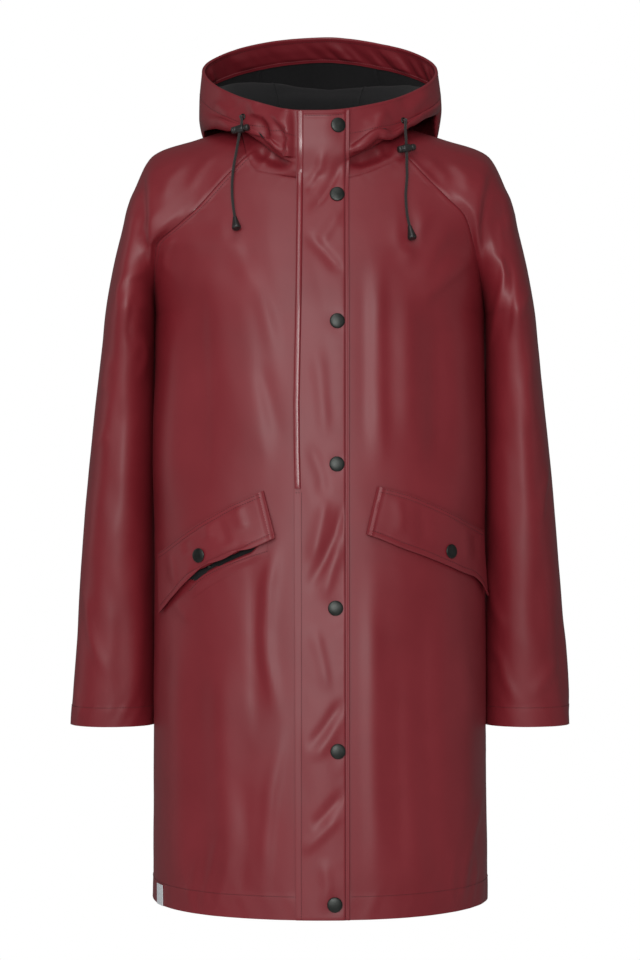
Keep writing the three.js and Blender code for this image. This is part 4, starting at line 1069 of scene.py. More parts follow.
def hoodSurface(along, rows):
    # along is the way round the neck in millimetres, rows go from 0 at the neck to 7 at the edge
    start = atLengths(neckPoints, neckLengths, along)
    quarter = np.clip(np.searchsorted(neckMarks, along, side="left") - 1, 0, 3)
    share = np.clip((along - neckMarks[quarter]) / (neckMarks[quarter + 1] - neckMarks[quarter]), 0, 1)
    inFront = start[:, 1] < 0
    knots = [start]
    for loop in hood["loops"]:
        quarters = loopQuarters(loop)
        point = np.zeros_like(start)
        for k in range(4):
            mine = quarter == k
            point[mine] = atShares(quarters[k], share[mine])
        free = np.where(inFront, ease(hood["heldTo"], hood["freeFrom"], np.abs(start[:, 0])), 1)
        point[:, 0] = start[:, 0] + (point[:, 0] - start[:, 0]) * free
        knots.append(point)
    points = through(np.arange(8), np.stack(knots), rows)
    fromFront = np.where(quarter == 0, share, 1 - share)
    layered = ease(0.08, 0.26, fromFront) * (1 - ease(0.72, 0.97, fromFront))
    layered = np.where((quarter == 0) | (quarter == 3), layered, 0)
    forward = hood["rollForward"] * hump(rows - 4.5, 0.85) - hood["layersBack"] * hump(rows - 1.8, 0.95)
    points[..., 1] -= forward[:, None] * layered
    across, lifts = np.array(hood["rollLift"], float).T
    inRoll = ease(2.4, 3.5, rows) * (1 - ease(4.6, 6.8, rows))
    raised = np.interp(points[..., 0], across, lifts) * inRoll[:, None]
    points[..., 2] += raised * (1 - ease(-5, 30, points[..., 1]))
    across, lifts = np.array(hood["slackLift"], float).T
    raised = np.interp(points[..., 0], across, lifts) * hump(rows - 2.3, 0.9)[:, None]
    points[..., 2] += raised * ease(20, 60, points[..., 1])
    x, y, z = points[..., 0], points[..., 1], points[..., 2]
    beside = ease(2, 24, y) * (1 - ease(60, 105, y)) * ease(92, 122, np.abs(x))
    points[..., 2] += (hood["sideSag"] - z) * hump(rows - 4, 0.55)[:, None] * beside * (z > hood["sideSag"])
    return points


hoodRows = np.concatenate([np.linspace(k, k + 1, n + 1)[:-1] for k, n in enumerate(hood["rows"])] + [[7]])
hoodAlong = np.linspace(0, neckLengths[-1], hood["columns"])


def hoodHeight(points, rows):
    x, z = points[..., 0], points[..., 2]
    height = np.zeros(x.shape)
    for fromRow, toRow, behind, folds in hood["folds"]:
        layer = ease(fromRow - 0.3, fromRow + 0.3, rows) * (1 - ease(toRow - 0.3, toRow + 0.3, rows))
        place = ease(-10, 20, points[..., 1]) if behind else 1 - ease(-10, 20, points[..., 1])
        height += foldHeight(folds, x, z) * layer[:, None] * place
    return height


def makeHood():
    points = hoodSurface(hoodAlong, hoodRows)
    normals = gridNormals(points)
    around = lengthAcross(points[-40:-39]) + 0 * points[..., 0]
    up = lengthUp(points)
    height = hoodHeight(points, hoodRows) + hood["wave"] * waviness(around, up, 71) * ease(0, 14, up)
    held = (1 - ease(27, 36, np.abs(points[..., 0]))) * (points[..., 1] < 0)
    height = np.where(height > 0, height * clearOfCords(points[..., 0], points[..., 2]), height)
    height *= 1 - 0.9 * held
    fromEdge = up[-1:] - up
    height += seamRelief(up, around, 77) - 0.35 * hump(fromEdge - hood["hemStitch"], 0.8)
    return points + normals * height[..., None], normals


hoodPoints, hoodNormals = makeHood()
fromBackMiddle = hoodAlong - neckMarks[2]
stripFrom, stripTo = [np.abs(fromBackMiddle - way * hood["stripHalf"]).argmin() for way in (-1, 1)]
stripEnds = [0, stripFrom, stripTo, hood["columns"] - 1]
# the wall is thinner in the roll, whose sharp folds it would poke through
thinned = 1 - 0.85 * ease(3.2, 3.8, hoodRows) * (1 - ease(5.6, 6.2, hoodRows))
for name, start, end in zip(("hoodRight", "hoodMiddle", "hoodLeft"), stripEnds, stripEnds[1:]):
    points, normals = hoodPoints[:, start : end + 1].copy(), hoodNormals[:, start : end + 1]
    fromFirst = lengthAcross(points)
    fromLast = fromFirst[:, -1:] - fromFirst
    seams = {"hoodRight": [fromLast], "hoodMiddle": [fromFirst, fromLast], "hoodLeft": [fromFirst]}
    for distance in seams[name]:
        points += normals * seamRelief(distance, lengthUp(points), 81, (hood["stripStitch"],))[..., None]
    clothPiece(
        name, name + "Cloth", points, normals, "hood_" + name[4:].lower(), clothWall, inside=lining,
        rimMaterial=1, thinned=np.repeat(thinned, points.shape[1]),
    )


facing = {
    "fromRow": 6.2,
    "gap": 0.3,
    "thickness": 1.0,
    "rimRadius": 1.9,
    "ripple": 1.9,
    "stitchAt": 3.6,
    "rimStitch": 3.0,
}


def makeFacing():
    # up the inside of the hood to its edge, and rolled over the edge
    rows = hoodRows >= facing["fromRow"]
    outer, normals = hoodPoints[rows], hoodNormals[rows]
    around = lengthAcross(outer[-1:]) + 0 * outer[..., 0]
    up = lengthUp(outer)
    slanted = around - up * 0.9
    ripples = softNoise(slanted, up, 7, 60, 91) + softNoise(slanted, up, 15, 90, 92)
    ripples = np.maximum(ripples + 0.9, 0) * ease(2, 9, up) * (1 - ease(0.55, 1, up / up[-1:]))
    dip = 0.35 * hump(up - facing["stitchAt"], 0.8)
    depth = clothWall + facing["gap"] + facing["thickness"] - dip + facing["ripple"] * ripples
    inner = outer - normals * depth[..., None]
    rise, side = unit(outer[-1] - outer[-3]), unit(normals[-1])
    radius = facing["rimRadius"]
    middle = outer[-1] - side * (radius - 0.2) + rise * 0.2
    angles = np.linspace(0.25, math.pi, 8)
    turn = [middle + radius * (math.sin(a) * rise - math.cos(a) * side) for a in angles]
    turn.append(turn[-1] - rise * 1.4)
    return np.concatenate([inner[:-1], np.stack(turn)]), inner, -normals


facingPoints, facingInner, facingNormals = makeFacing()
facingOut = -gridNormals(facingPoints)
clothPiece("facing", "hoodFacingCloth", facingPoints, facingOut, "hood_facing", facing["thickness"] * 0.8)


# The storm flap and its welt

placket = {
    "left": -26,
    "right": 32,
    "foot": 0.3,
    "thickness": 2.2,
    "edgeStitch": 5.6,
    "topStitch": 5,
    "leftStitch": -20.2,
    "wave": 0.45,
    "snapRadius": 8.3,
    # how far its sewn side bows to the left: levels and distances
    "bow": [(-882, 0), (-700, 1), (-500, 2), (-418, 2.2), (-370, 3.4), (-320, 3.8), (-197, 1.5), (-45, 0)],
    # across and up, for the middle of each snap
    "snaps": [(20, -11), (19, -88), (19, -230), (18.5, -387.5), (17, -545), (19.5, -700), (16, -865)],
    "folds": [
        (-1.5, 4, 6, [(22, -44), (18, -66), (4, -92), (-14, -112)]),
        (1.1, 5, 5, [(4, -34), (0, -58), (-8, -74), (-16, -84)]),
        (-0.9, 4, 4, [(2, -60), (-6, -76), (-14, -90)]),
        (-1.3, 5, 7, [(-14, -128), (2, -150), (28, -180)]),
        (1.1, 6, 8, [(24, -104), (12, -126), (-4, -150)]),
        (0.9, 7, 7, [(-4, -250), (2, -300), (6, -370)]),
        (-0.8, 6, 6, [(-10, -360), (2, -400), (4, -430)]),
        (-1.8, 5, 7, [(26, -424), (18, -462), (6, -492), (-14, -530)]),
        (1.3, 6, 7, [(8, -420), (0, -462), (-8, -500)]),
        (1.1, 6, 7, [(24, -470), (14, -500), (2, -540)]),
        (0.9, 6, 8, [(-6, -560), (4, -610), (10, -640)]),
        (-1.3, 6, 6, [(28, -640), (4, -677), (-14, -700)]),
        (1.0, 6, 6, [(24, -660), (8, -690), (-10, -712)]),
        (-1.5, 5, 6, [(28, -742), (4, -770), (-10, -784)]),
        (1.3, 5, 6, [(26, -766), (0, -792), (-22, -812)]),
        (1.0, 7, 7, [(4, -812), (8, -846), (4, -876)]),
    ],
}
# the welt is at its full height below one level and flatter above it
welt = {
    "from": -25.2,
    "to": -18.4,
    "bottom": -418,
    "full": -63,
    "flatter": 0.7,
    "height": 2.0,
    "foot": 0.25,
}


def neckSide(x):
    # the way round the neck at which its front is x from the middle line
    mine = neckLengths <= neckMarks[1] if x > zipAcross else neckLengths >= neckMarks[3]
    return np.interp(x, neckPoints[mine, 0], neckLengths[mine])


def placketFoot(across):
    # the coat and the hood under the storm flap
    s = np.concatenate([acrossAt(bodyLevels, value) for value in across], axis=1)
    surface = lambda a, b: bodySurface("front", a, b)
    lower = lowerNeck(surface(s, bodyLevels), bodyLevels)
    upper = hoodSurface(np.array([neckSide(value) for value in across]), hoodRows[1:])
    points = np.concatenate([lower, upper])
    z = points[:, len(across) // 2, 2]
    even = np.linspace(-130, z[-1], 56)
    column = lambda j, k: np.interp(even, z, points[:, j, k])
    above = np.stack([np.stack([column(j, k) for k in range(3)], -1) for j in range(len(across))], 1)
    for _ in range(16):
        above[1:-1, :, 1] = (above[:-2, :, 1] + 2 * above[1:-1, :, 1] + above[2:, :, 1]) / 4
    points = np.concatenate([points[z < even[0] - 1], above])
    normals = gridNormals(points)
    below = bodyLevels < -150
    normals[: below.sum()] = normalsOf(surface, s, bodyLevels, 1, 0.001, 0.5)[below]
    return points, unit(normals)


def bowed(points):
    levels, distances = np.array(placket["bow"], float).T
    x, z = points[..., 0], points[..., 2]
    points[..., 0] -= np.interp(z, levels, distances) * (1 - ease(-17, 10, x))
    return points


def placketGrid():
    left, right = placket["left"], placket["right"]
    leftSteps, rightSteps = [0, 0.6, 1.6], [7.6, 6.6, 5.8, 5, 4, 2.8, 1.6, 0.7, 0]
    across = np.concatenate([
        [left + step for step in leftSteps],
        np.linspace(-23, 23, 24),
        [right - step for step in rightSteps],
    ])
    points, normals = placketFoot(across)
    z = points[..., 2]
    x = across[None, :] + 0 * z
    height = foldHeight(placket["folds"], x, z) + placket["wave"] * waviness(x * 1.5, z, 101)
    for snapX, level in placket["snaps"]:
        height -= 0.7 * hump(np.hypot(x - snapX, z - level), 10)
    height *= 1.5 * ease(left, -14, x) * (1 - 0.6 * ease(24, 30, x))
    edge, top = right - x, lengthUp(points)[-1:] - lengthUp(points)
    # a firm rounded edge, then the dip of the stitches, along the top and on the right
    stitch = placket["topStitch"]
    height += 0.55 * (ease(0, 1.2, top) - ease(stitch - 2.4, stitch - 0.4, top)) - 0.3 * (top < 0.6)
    height -= 0.55 * hump(top - stitch, 1.0)
    height += 0.5 * hump(edge - 1.1, 0.8) - 0.3 * (edge < 0.6)
    height -= 1.1 * hump(edge - 3.5, 1.4)
    underWelt = ease(welt["bottom"], welt["bottom"] + 8, z)
    height -= 0.5 * hump(x - placket["leftStitch"], 0.9) * (1 - underWelt)
    height += 0.22 * softNoise(z, edge, 7, 30, 103) * hump(edge - 9, 5)
    height += 0.6 * softNoise(z, x, 70, 400, 104) * ease(22, 32, x)
    away = placket["foot"] + placket["thickness"] + height
    return bowed(points + normals * away[..., None]), normals


placketPoints, placketNormals = placketGrid()
thickness = placket["thickness"] - 0.3
clothPiece("placket", "stormFlapCloth", placketPoints, placketNormals, "placket", thickness, round=0.45)


def spotNear(points, normals, x, z):
    # a point of a grid and its normal where the grid is x across and at the level z
    away = np.hypot(points[..., 0] - x, points[..., 2] - z)
    i, j = np.unravel_index(away.argmin(), away.shape)
    point, normal = points[i, j], normals[i, j]
    dx, dz = x - point[0], z - point[2]
    return np.array([x, point[1] - (normal[0] * dx + normal[2] * dz) / normal[1], z]), normal


def bedAt(points, normals, x, z, radius):
    # where a flat round part lies on a grid: square to it, on its highest points
    near = np.hypot(points[..., 0] - x, points[..., 2] - z) < radius
    near &= np.abs(points[..., 1] - spotNear(points, normals, x, z)[0][1]) < 14
    normal = unit(normals[near].mean(axis=0))
    middle, _ = spotNear(points, normals, x, z)
    rise = ((points[near] - middle) @ normal).max()
    return middle + normal * rise, normal


def weltGrid():
    across = np.linspace(welt["from"], welt["to"], 13)
    points, normals = placketFoot(across)
    z = points[:, 6, 2]
    rows = z > welt["bottom"]
    points, normals = points[rows], normals[rows]
    low, knee = welt["bottom"], welt["full"]
    ends = ease(low, low + 5, points[..., 2])
    ends = ends * (1 - welt["flatter"] * ease(knee - 6, knee + 2, points[..., 2]))
    crown = np.sqrt(np.clip(1 - np.linspace(-1, 1, 13) ** 4, 0, 1))
    uneven = 1 + 0.1 * softNoise(points[..., 2], points[..., 0] * 0, 34, 30, 107)
    away = placket["foot"] + placket["thickness"] + welt["foot"] + welt["height"] * crown * uneven * ends
    return bowed(points + normals * away[..., None]), normals


glossy = materials["stretchedBurgundy"]
clothPiece("welt", "stormFlapWelt", *weltGrid(), "placket_welt", 0.5, glossy, glossy)


# The pocket flaps, and the lip of the left pocket

flaps = {
    "foot": 0.9,
    "thickness": 2.0,
    # stitched lines: their distances from the lower edge, the upper edge and the inner end
    "edgeStitch": 6.4,
    "upperStitches": (1.8, 5.6),
    "endStitch": 5.4,
    "wave": 0.4,
    # upper and lower edge as across and up, and how far the lower edge stands off the coat
    "left": [
        (-62, -417, -48, -469, 3), (-80, -424.5, -66, -477.5, 5), (-98, -433, -84, -485, 7),
        (-116, -443, -101, -491, 8), (-133, -453, -119, -500, 7), (-149, -464, -137, -512, 5),
        (-162, -474, -152, -526, 3.5), (-174, -483, -165, -541, 2.5), (-182, -488, -177, -555, 2),
    ],
    "right": [
        (63, -412, 50, -465, 2), (80, -416, 69, -472, 2), (97, -421, 88, -480, 2),
        (113, -427, 107, -487, 2), (129, -434, 126, -494.5, 2), (144, -441, 143, -502, 2),
        (158, -448.5, 158, -509, 2), (169, -454.5, 170, -514, 2.4), (178, -459, 179, -523, 2.8),
        (185, -463, 186, -537, 3),
    ],
    "lip": [
        (-60, -469, -55, -489, 0), (-84, -478, -78, -500, 0), (-106, -487, -100, -510, 0),
        (-128, -498, -121, -522, 0), (-150, -516, -142, -537, 0),
    ],
    "snaps": {"left": (-133.3, -488.3), "right": (145.3, -484.2)},
    "snapRadius": 8,
    "stud": (-123.5, -500.5),
    "leftFolds": [
        (1.6, 5, 7, [(-92, -428), (-86, -446), (-80, -462)]),
        (-1.2, 6, 6, [(-112, -444), (-104, -462), (-98, -480)]),
        (1.2, 5, 6, [(-124, -452), (-118, -472)]),
        (-1.3, 5, 5, [(-148, -470), (-142, -490)]),
        (1.4, 5, 6, [(-166, -482), (-160, -506), (-158, -524)]),
    ],
    "rightFolds": [
        (1.0, 5, 8, [(84, -420), (88, -444), (86, -468)]),
        (-0.9, 7, 7, [(108, -430), (112, -460), (112, -480)]),
        (1.1, 6, 6, [(160, -452), (162, -480), (162, -502)]),
        (-1.0, 5, 5, [(172, -462), (174, -494)]),
    ],
    # how far the lip's edge lies below the upper edge, and its stitches below that
    "lipAt": 10,
    "lipStitch": 4.2,
}


def stripOnCoat(stations, downs):
    # the coat under a strip, how far the strip stands off it, and the distances from its edges
    stations = np.array(sorted(stations, key=lambda station: station[0]), float)
    count = int(abs(stations[-1, 0] - stations[0, 0]) / 1.6)
    measures = through(np.arange(len(stations)), stations, np.linspace(0, len(stations) - 1, count))
    upperX, upperZ, lowerX, lowerZ, lift = measures.T
    down = downs[::-1, None]
    x, z = upperX + (lowerX - upperX) * down, upperZ + (lowerZ - upperZ) * down
    points, normals = frontSpots(x, z)
    depth = np.hypot(upperX - lowerX, upperZ - lowerZ)
    across = lengthAcross(points)
    edges = {
        "upper": down * depth,
        "lower": (1 - down) * depth,
        "left": across,
        "right": across[:, -1:] - across,
    }
    return points, unit(normals), x, z, lift * down, edges


def softHeight(x, z, edges, folds, seed):
    height = foldHeight(folds, x, z) + flaps["wave"] * waviness(x, z, seed)
    return height * (ease(0, 12, edges["upper"]) * ease(0, 6, edges["lower"]))


def flapHeight(x, z, edges, side, seed):
    height = softHeight(x, z, edges, flaps[side + "Folds"], seed)
    lower, inner, stitch = edges["lower"], edges["inner"], flaps["edgeStitch"]
    height += 0.4 * (ease(0, 1, lower) - ease(stitch - 2, stitch - 0.6, lower))
    height -= 0.45 * hump(lower - stitch, 0.9) + 0.5 * hump(edges["upper"] - flaps["upperStitches"][1], 0.9)
    height += 0.22 * softNoise(edges["left"], lower, 7, 40, seed + 4) * hump(lower - stitch - 3, 6)
    # the bound inner end: a ridge along the edge and a thicker one inside it
    height += 0.5 * hump(inner - 0.6, 0.7) + 1.3 * hump(inner - 5.3, 1.2)
    height -= 0.7 * hump(inner - 2.7, 1.2) + 0.5 * hump(inner - 8.0, 0.9)
    snapX, snapZ = flaps["snaps"][side]
    return height - 0.8 * hump(np.hypot(x - snapX, z - snapZ), 10)


flapDowns = np.concatenate([[0, 0.012, 0.03], np.linspace(0.06, 0.94, 30), [0.965, 0.985, 1]])
flapFaces = {}
for side, seed in (("left", 111), ("right", 121)):
    points, normals, x, z, lift, edges = stripOnCoat(flaps[side], flapDowns)
    edges["inner"] = edges["right" if side == "left" else "left"]
    away = flaps["foot"] + lift + flaps["thickness"] + flapHeight(x, z, edges, side, seed)
    face = points + normals * away[..., None]
    flapFaces[side] = (face, normals, edges)
    key, node, thickness = "flap" + side.title(), "pocket_flap_" + side, flaps["thickness"] - 0.2
    clothPiece(key, f"pocketFlap{side.title()}Cloth", face, normals, node, thickness, round=0.5)


def lipGrid():
    # the pocket's mouth, its dark lining partly painted shade under the flap, and below it the lip, which
    # runs out into the coat
    points, normals, x, z, lift, edges = stripOnCoat(flaps["lip"], np.linspace(0, 1, 26))
    upper = edges["upper"]
    opened = ease(0, 16, edges["left"]) * ease(0, 22, edges["right"])
    edge = flaps["lipAt"] * opened
    height = softHeight(x, z, edges, [], 131) - 0.6 * (1 - ease(0, 7, edges["lower"]))
    height += 1.7 * ease(edge - 0.6, edge + 0.8, upper) * ease(0, 9, edges["lower"]) * opened
    height -= 0.4 * hump(upper - edge - flaps["lipStitch"], 0.9) * opened
    away = 0.2 + lift + 0.6 + height
    return points + normals * away[..., None], normals, upper < edge - 0.3


lipFace, lipNormals, shadedMouth = lipGrid()
piece = newPiece("pocketLipCloth", gridMesh(lipFace, lipNormals), [coated, lining])
centres = np.array([face.center for face in piece.data.polygons]) / mm
nearest = ((centres[:, None] - lipFace.reshape(1, -1, 3)) ** 2).sum(-1).argmin(1)
# the mouth's faces take the dark lining: the pocket's real inside, and also painted shade under the flap
piece.data.polygons.foreach_set("material_index", shadedMouth.ravel()[nearest].astype(np.int32))
addWall(piece, 0.5)
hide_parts("pocket_lip_left")
print("pocket lip made")


# Round metal and plastic parts

profiles = {
    # radius and height of a snap of radius 1, then the ring of an eyelet, a stud and a bell in millimetres
    "snap": [
        (0, 0), (0.95, 0), (0.985, 0.025), (1, 0.07), (0.99, 0.12), (0.95, 0.165), (0.88, 0.195),
        (0.76, 0.225), (0.6, 0.252), (0.42, 0.272), (0.22, 0.284), (0, 0.288),
    ],
    "eyelet": [
        (1.9, -0.2), (3.9, 0), (4.05, 0.3), (3.85, 0.75), (3.3, 1.25), (2.8, 1.4), (2.3, 1.2),
        (1.95, 0.7), (1.9, -0.2),
    ],
    "stud": [
        (0, 0), (3.3, 0), (3.4, 0.3), (3.3, 0.8), (2.9, 1.05), (2.0, 1.1), (1.7, 1.5), (1.2, 1.9),
        (0, 2.0),
    ],
    "bell": [
        (0, 0), (1.9, 0), (2.35, 0.5), (2.5, 1.6), (2.65, 2.4), (2.95, 4), (3.5, 6.5), (4.1, 9),
        (4.75, 11.6), (5.1, 13.2), (5.15, 14.3), (4.8, 15.3), (4.1, 15.85), (3.4, 16), (3.0, 15.7),
        (0, 15.6),
    ],
    # height and radius of the lock, from one end to the other
    "lock": [
        (-11, 0), (-11, 2.2), (-10.7, 3.2), (-10, 3.8), (-8.6, 4.1), (-7.8, 4.3), (-7.4, 3.9),
        (-6.8, 3.9), (-6.4, 4.3), (-5.6, 4.3), (-5.2, 3.9), (-4.6, 3.9), (-4.2, 4.4), (-2, 4.7),
        (2, 4.7), (3.8, 4.5), (4.4, 4.1), (4.6, 3.1), (4.7, 2.7), (5.9, 2.7), (6, 3.1), (6.2, 3.6),
        (7, 3.8), (9.8, 3.7), (10.6, 3.3), (11, 2.4), (11, 0),
    ],
}
finishOf = {"dark_metal": gunmetal, "black_plastic": materials["blackPlastic"]}


def frameAt(place, direction):
    turn = Vector(direction).to_track_quat("Z", "Y").to_matrix().to_4x4()
    return Matrix.Translation(Vector(place) * mm) @ turn


def spunMesh(profile, place, direction, steps):
    bm = bmesh.new()
    corners = [bm.verts.new((radius * mm, 0, height * mm)) for radius, height in profile]
    for start, end in zip(corners, corners[1:]):
        bm.edges.new((start, end))
    bmesh.ops.spin(
        bm, geom=bm.verts[:] + bm.edges[:], cent=(0, 0, 0), axis=(0, 0, 1), angle=math.tau, steps=steps,
        use_merge=True,
    )
    bmesh.ops.remove_doubles(bm, verts=bm.verts, dist=2e-6)
    bmesh.ops.recalc_face_normals(bm, faces=bm.faces)
    bm.transform(frameAt(place, direction))
    mesh = bpy.data.meshes.new("spun")
    bm.to_mesh(mesh)
    bm.free()
    return mesh


def spunPiece(name, profile, place, direction, slot, node, steps=40, levels=0):
    piece = newPiece(name, spunMesh(profile, place, direction, steps), [finishOf[slot]])
    if levels:
        soft = piece.modifiers.new("soft", "SUBSURF")
        soft.levels = soft.render_levels = levels
    applyModifiers(piece, 60)
    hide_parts(node)
    return piece


def snapPiece(name, points, normals, spot, bed, radius, node):
    place, direction = bedAt(points, normals, *spot, bed)
    profile = [(across * radius, height * radius) for across, height in profiles["snap"]]
    spunPiece(name, profile, place + direction * snapGap, direction, "dark_metal", node)


snapGap = 0.05
for number, spot in enumerate(placket["snaps"], 1):
    radius, node = placket["snapRadius"], f"snap_{number}"
    snapPiece(f"snapCap{number}", placketPoints, placketNormals, spot, 8.5, radius, node)
for side, (face, normals, _) in flapFaces.items():
    spot, node = flaps["snaps"][side], "pocket_snap_" + side
    snapPiece("flapSnap" + side.title(), face, normals, spot, 7, flaps["snapRadius"], node)
place, direction = [value[0] for value in frontSpots(*[[measure] for measure in flaps["stud"]])]
spunPiece("pocketStud", profiles["stud"], place + direction, direction, "dark_metal", "pocket_stud_left")
print("snaps made")


# Cords with their eyelets, locks and bells

cords = {
    "left": {
        "hole": (-86.59, -72.41, 2.4),
        "route": [
            (-87.4, -80, -3), (-89, -82.4, -13), (-91, -82, -24), (-93.5, -81, -38),
            (-96.3, -85, -53.6), (-97.8, -90.5, -67.6), (-98, -94.5, -81.5), (-97.4, -97.5, -93),
            (-96, -101, -104.5), (-94.6, -104.8, -113),
        ],
        "lockLevel": -13,
        "lockAcross": (0.9, -0.46, 0.14),
    },
    "right": {
        "hole": (94.09, -67.34, -1.02),
        "route": [
            (95.6, -74.5, -7), (96.1, -77.5, -20), (96.7, -80, -34), (96.9, -84, -45),
            (96.8, -88, -54), (97, -92.5, -64.5), (96, -97, -78.5), (95.3, -99.5, -87.6),
            (95.7, -102.5, -99), (96.8, -105.2, -111), (99.4, -109.5, -124),
        ],
        "lockLevel": -34,
        "lockAcross": (0.9, 0.42, 0.2),
    },
    "radius": 1.5,
    "step": 0.55,
    "sides": 20,
    "strands": 5,
    "twist": 0.9,
}


def curveThrough(points, step):
    # a smooth curve through points, with more of its bend where they lie close together
    points = np.array(points, float)
    points = np.vstack([2 * points[0] - points[1], points, 2 * points[-1] - points[-2]])
    line = []
    for a, b, c, d in zip(points, points[1:], points[2:], points[3:]):
        before, span, after = [math.sqrt(np.linalg.norm(q - p)) for p, q in ((a, b), (b, c), (c, d))]
        leave = (b - a) / before - (c - a) / (before + span) + (c - b) / span
        arrive = (c - b) / span - (d - b) / (span + after) + (d - c) / after
        line.append(sweep(b, leave * span, c, arrive * span, np.linspace(0, 1, 25)[:-1]))
    line = np.concatenate(line + [points[-2][None]])
    lengths = lengthsOf(line)
    return atLengths(line, lengths, np.linspace(0, lengths[-1], int(lengths[-1] / step) + 1))


def tubeGrid(line, radius, sides):
    # rings along a line, each square to it and turned as little as possible from the last
    along = unit(np.gradient(line, axis=0))
    side = unit(np.cross(along[0], (0, 1, 0.3)))
    rings = []
    angles = np.linspace(0, math.tau, sides + 1)
    for i, (point, way) in enumerate(zip(line, along)):
        side = unit(side - way * (side @ way))
        up = np.cross(way, side)
        spread = np.cos(angles)[:, None] * side + np.sin(angles)[:, None] * up
        rings.append((point, spread))
    points = np.stack([point + spread * radius[i][:, None] for i, (point, spread) in enumerate(rings)])
    return points, np.stack([spread for _, spread in rings])


def braidedTube(line):
    lengths = lengthsOf(line)[:, None]
    angles = np.linspace(0, math.tau, cords["sides"] + 1)[None, :]
    strands, twist = cords["strands"], cords["twist"]
    one = np.cos(strands * angles + twist * lengths * 2.2)
    other = np.cos(strands * angles - twist * lengths * 2.2)
    radius = cords["radius"] * (0.95 + 0.07 * np.maximum(one, other))
    ends = np.ones(len(line))
    ends[0] = ends[-1] = 0.02
    return tubeGrid(line, radius * ends[:, None], cords["sides"])


hoodFront = (hoodRows > 5.9)[:, None] & (hoodPoints[..., 1] < 0)
for side in ("left", "right"):
    measures = cords[side]
    hole = np.array(measures["hole"])
    distance = np.where(hoodFront, np.linalg.norm(hoodPoints - hole, axis=-1), 1e9)
    spot = np.unravel_index(distance.argmin(), distance.shape)
    normal = hoodNormals[spot]
    place = hole + normal * ((hoodPoints[spot] - hole) @ normal)
    route = np.array(measures["route"], float)
    route[:, 1] -= 4.2 * ease(2, -8, route[:, 2]) * ease(-66, -44, route[:, 2])
    line = curveThrough([place + normal * 0.3, place + normal * 4, *route], cords["step"])
    points, spreads = braidedTube(line)
    end = side.title()
    cord = newPiece("cord" + end, gridMesh(points, spreads, 1e-7), [materials["braidedCord"]])
    applyModifiers(cord, 80)
    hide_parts("drawcord_" + side)
    spunPiece("eyelet" + end, profiles["eyelet"], place, normal, "dark_metal", "eyelet_" + side, 28, 1)
    down = unit(line[-1] - line[-4])
    foot, node = line[-1] - down * 0.6, "cord_end_" + side
    bell = spunPiece("bell" + end, profiles["bell"], foot, down, "black_plastic", node, 28, 1)
    middle = line[np.abs(line[:, 2] - measures["lockLevel"]).argmin()]
    across, node = np.array(measures["lockAcross"]), "cord_lock_" + side
    profile = [(radius, height) for height, radius in profiles["lock"]]
    toggle = spunPiece("lock" + end, profile, middle, across, "black_plastic", node, 28, 1)
print("cords made")


# The pale tape folded round the hem, low on the left

tab = {
    "from": -182.2,
    "to": -174.8,
    "top": -859,
    "outside": 1.9,
    "inside": 2.5,
    "drop": 0.9,
    "thickness": 0.8,
}


def tabGrid():
    # down the outside, round below the hem and up the inside
    across = np.linspace(tab["from"], tab["to"], 9)
    x, z = np.meshgrid(across, np.linspace(tab["top"], hem + 1, 18))
    points, normals = frontSpots(x, z)
    middle, reach = (tab["outside"] - tab["inside"]) / 2, (tab["outside"] + tab["inside"]) / 2
    turn, directions = [], []
    for a in np.linspace(0.3, math.pi - 0.3, 7):
        fall = (0, 0, 0.6 + tab["drop"] * math.sin(a))
        turn.append(points[-1] + normals[-1] * (middle + reach * math.cos(a)) - fall)
        directions.append(normals[-1] * math.cos(a) - (0, 0, math.sin(a)))
    outside, inside = points + normals * tab["outside"], (points - normals * tab["inside"])[::-1]
    return np.concatenate([outside, turn, inside]), np.concatenate([normals, directions, -normals[::-1]])


piece = newPiece("hemTape", gridMesh(*tabGrid()), [materials["paleTape"]] * 2)
addWall(piece, tab["thickness"])
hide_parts("hem_tab")
print("tape made")


# Sewing: short capsules of thread laid end to end along each stitched line

sewing = {"pitch": 2.9, "length": 0.95, "width": 0.42, "height": 0.36}


def stitchShape():
    bm = bmesh.new()
    bmesh.ops.create_uvsphere(bm, u_segments=6, v_segments=4, radius=1)
    bmesh.ops.scale(bm, vec=(sewing["width"], sewing["length"], sewing["height"]), verts=bm.verts)
    mesh = bpy.data.meshes.new("stitch")
    bm.to_mesh(mesh)
    bm.free()
    return mesh


stitchMesh = stitchShape()


def stitchLines(name, lines, finish):
    # every line is its points and normals; one mesh holds a copy of the stitch at each place
    shape = np.array([corner.co for corner in stitchMesh.vertices])
    sides = [list(face.vertices) for face in stitchMesh.polygons]
    corners, faces = [], []
    for line, normals in lines:
        lengths = lengthsOf(line)
        count = int(lengths[-1] / sewing["pitch"])
        if count < 1:
            continue
        at = (np.arange(count) + 0.5) * lengths[-1] / count
        ways = unit(atLengths(line, lengths, at + 0.7) - atLengths(line, lengths, at - 0.7))
        crossings = unit(np.cross(ways, unit(atLengths(normals, lengths, at))))
        ups = np.cross(crossings, ways)
        places = atLengths(line, lengths, at) + ups * 0.05
        for place, crossing, way, up in zip(places, crossings, ways, ups):
            faces += [[corner + len(corners) * len(shape) for corner in side] for side in sides]
            corners.append(place + shape @ np.array([crossing, way, up]))
    mesh = bpy.data.meshes.new(name)
    mesh.from_pydata(np.concatenate(corners) * mm, [], faces)
    newPiece(name, mesh, [materials[finish]])
    mesh.shade_smooth()
    print(name, len(faces), "faces")


def onGrid(points, normals, field, value, rows=slice(None)):
    # the line on a grid along which a field has a value, one point in each row
    line, ups = [], []
    for row, normal, values in zip(points[rows], normals[rows], field[rows]):
        order = np.argsort(values)
        if values[order[0]] <= value <= values[order[-1]]:
            line.append([np.interp(value, values[order], row[order, k]) for k in range(3)])
            ups.append([np.interp(value, values[order], normal[order, k]) for k in range(3)])
    return np.array(line), np.array(ups)


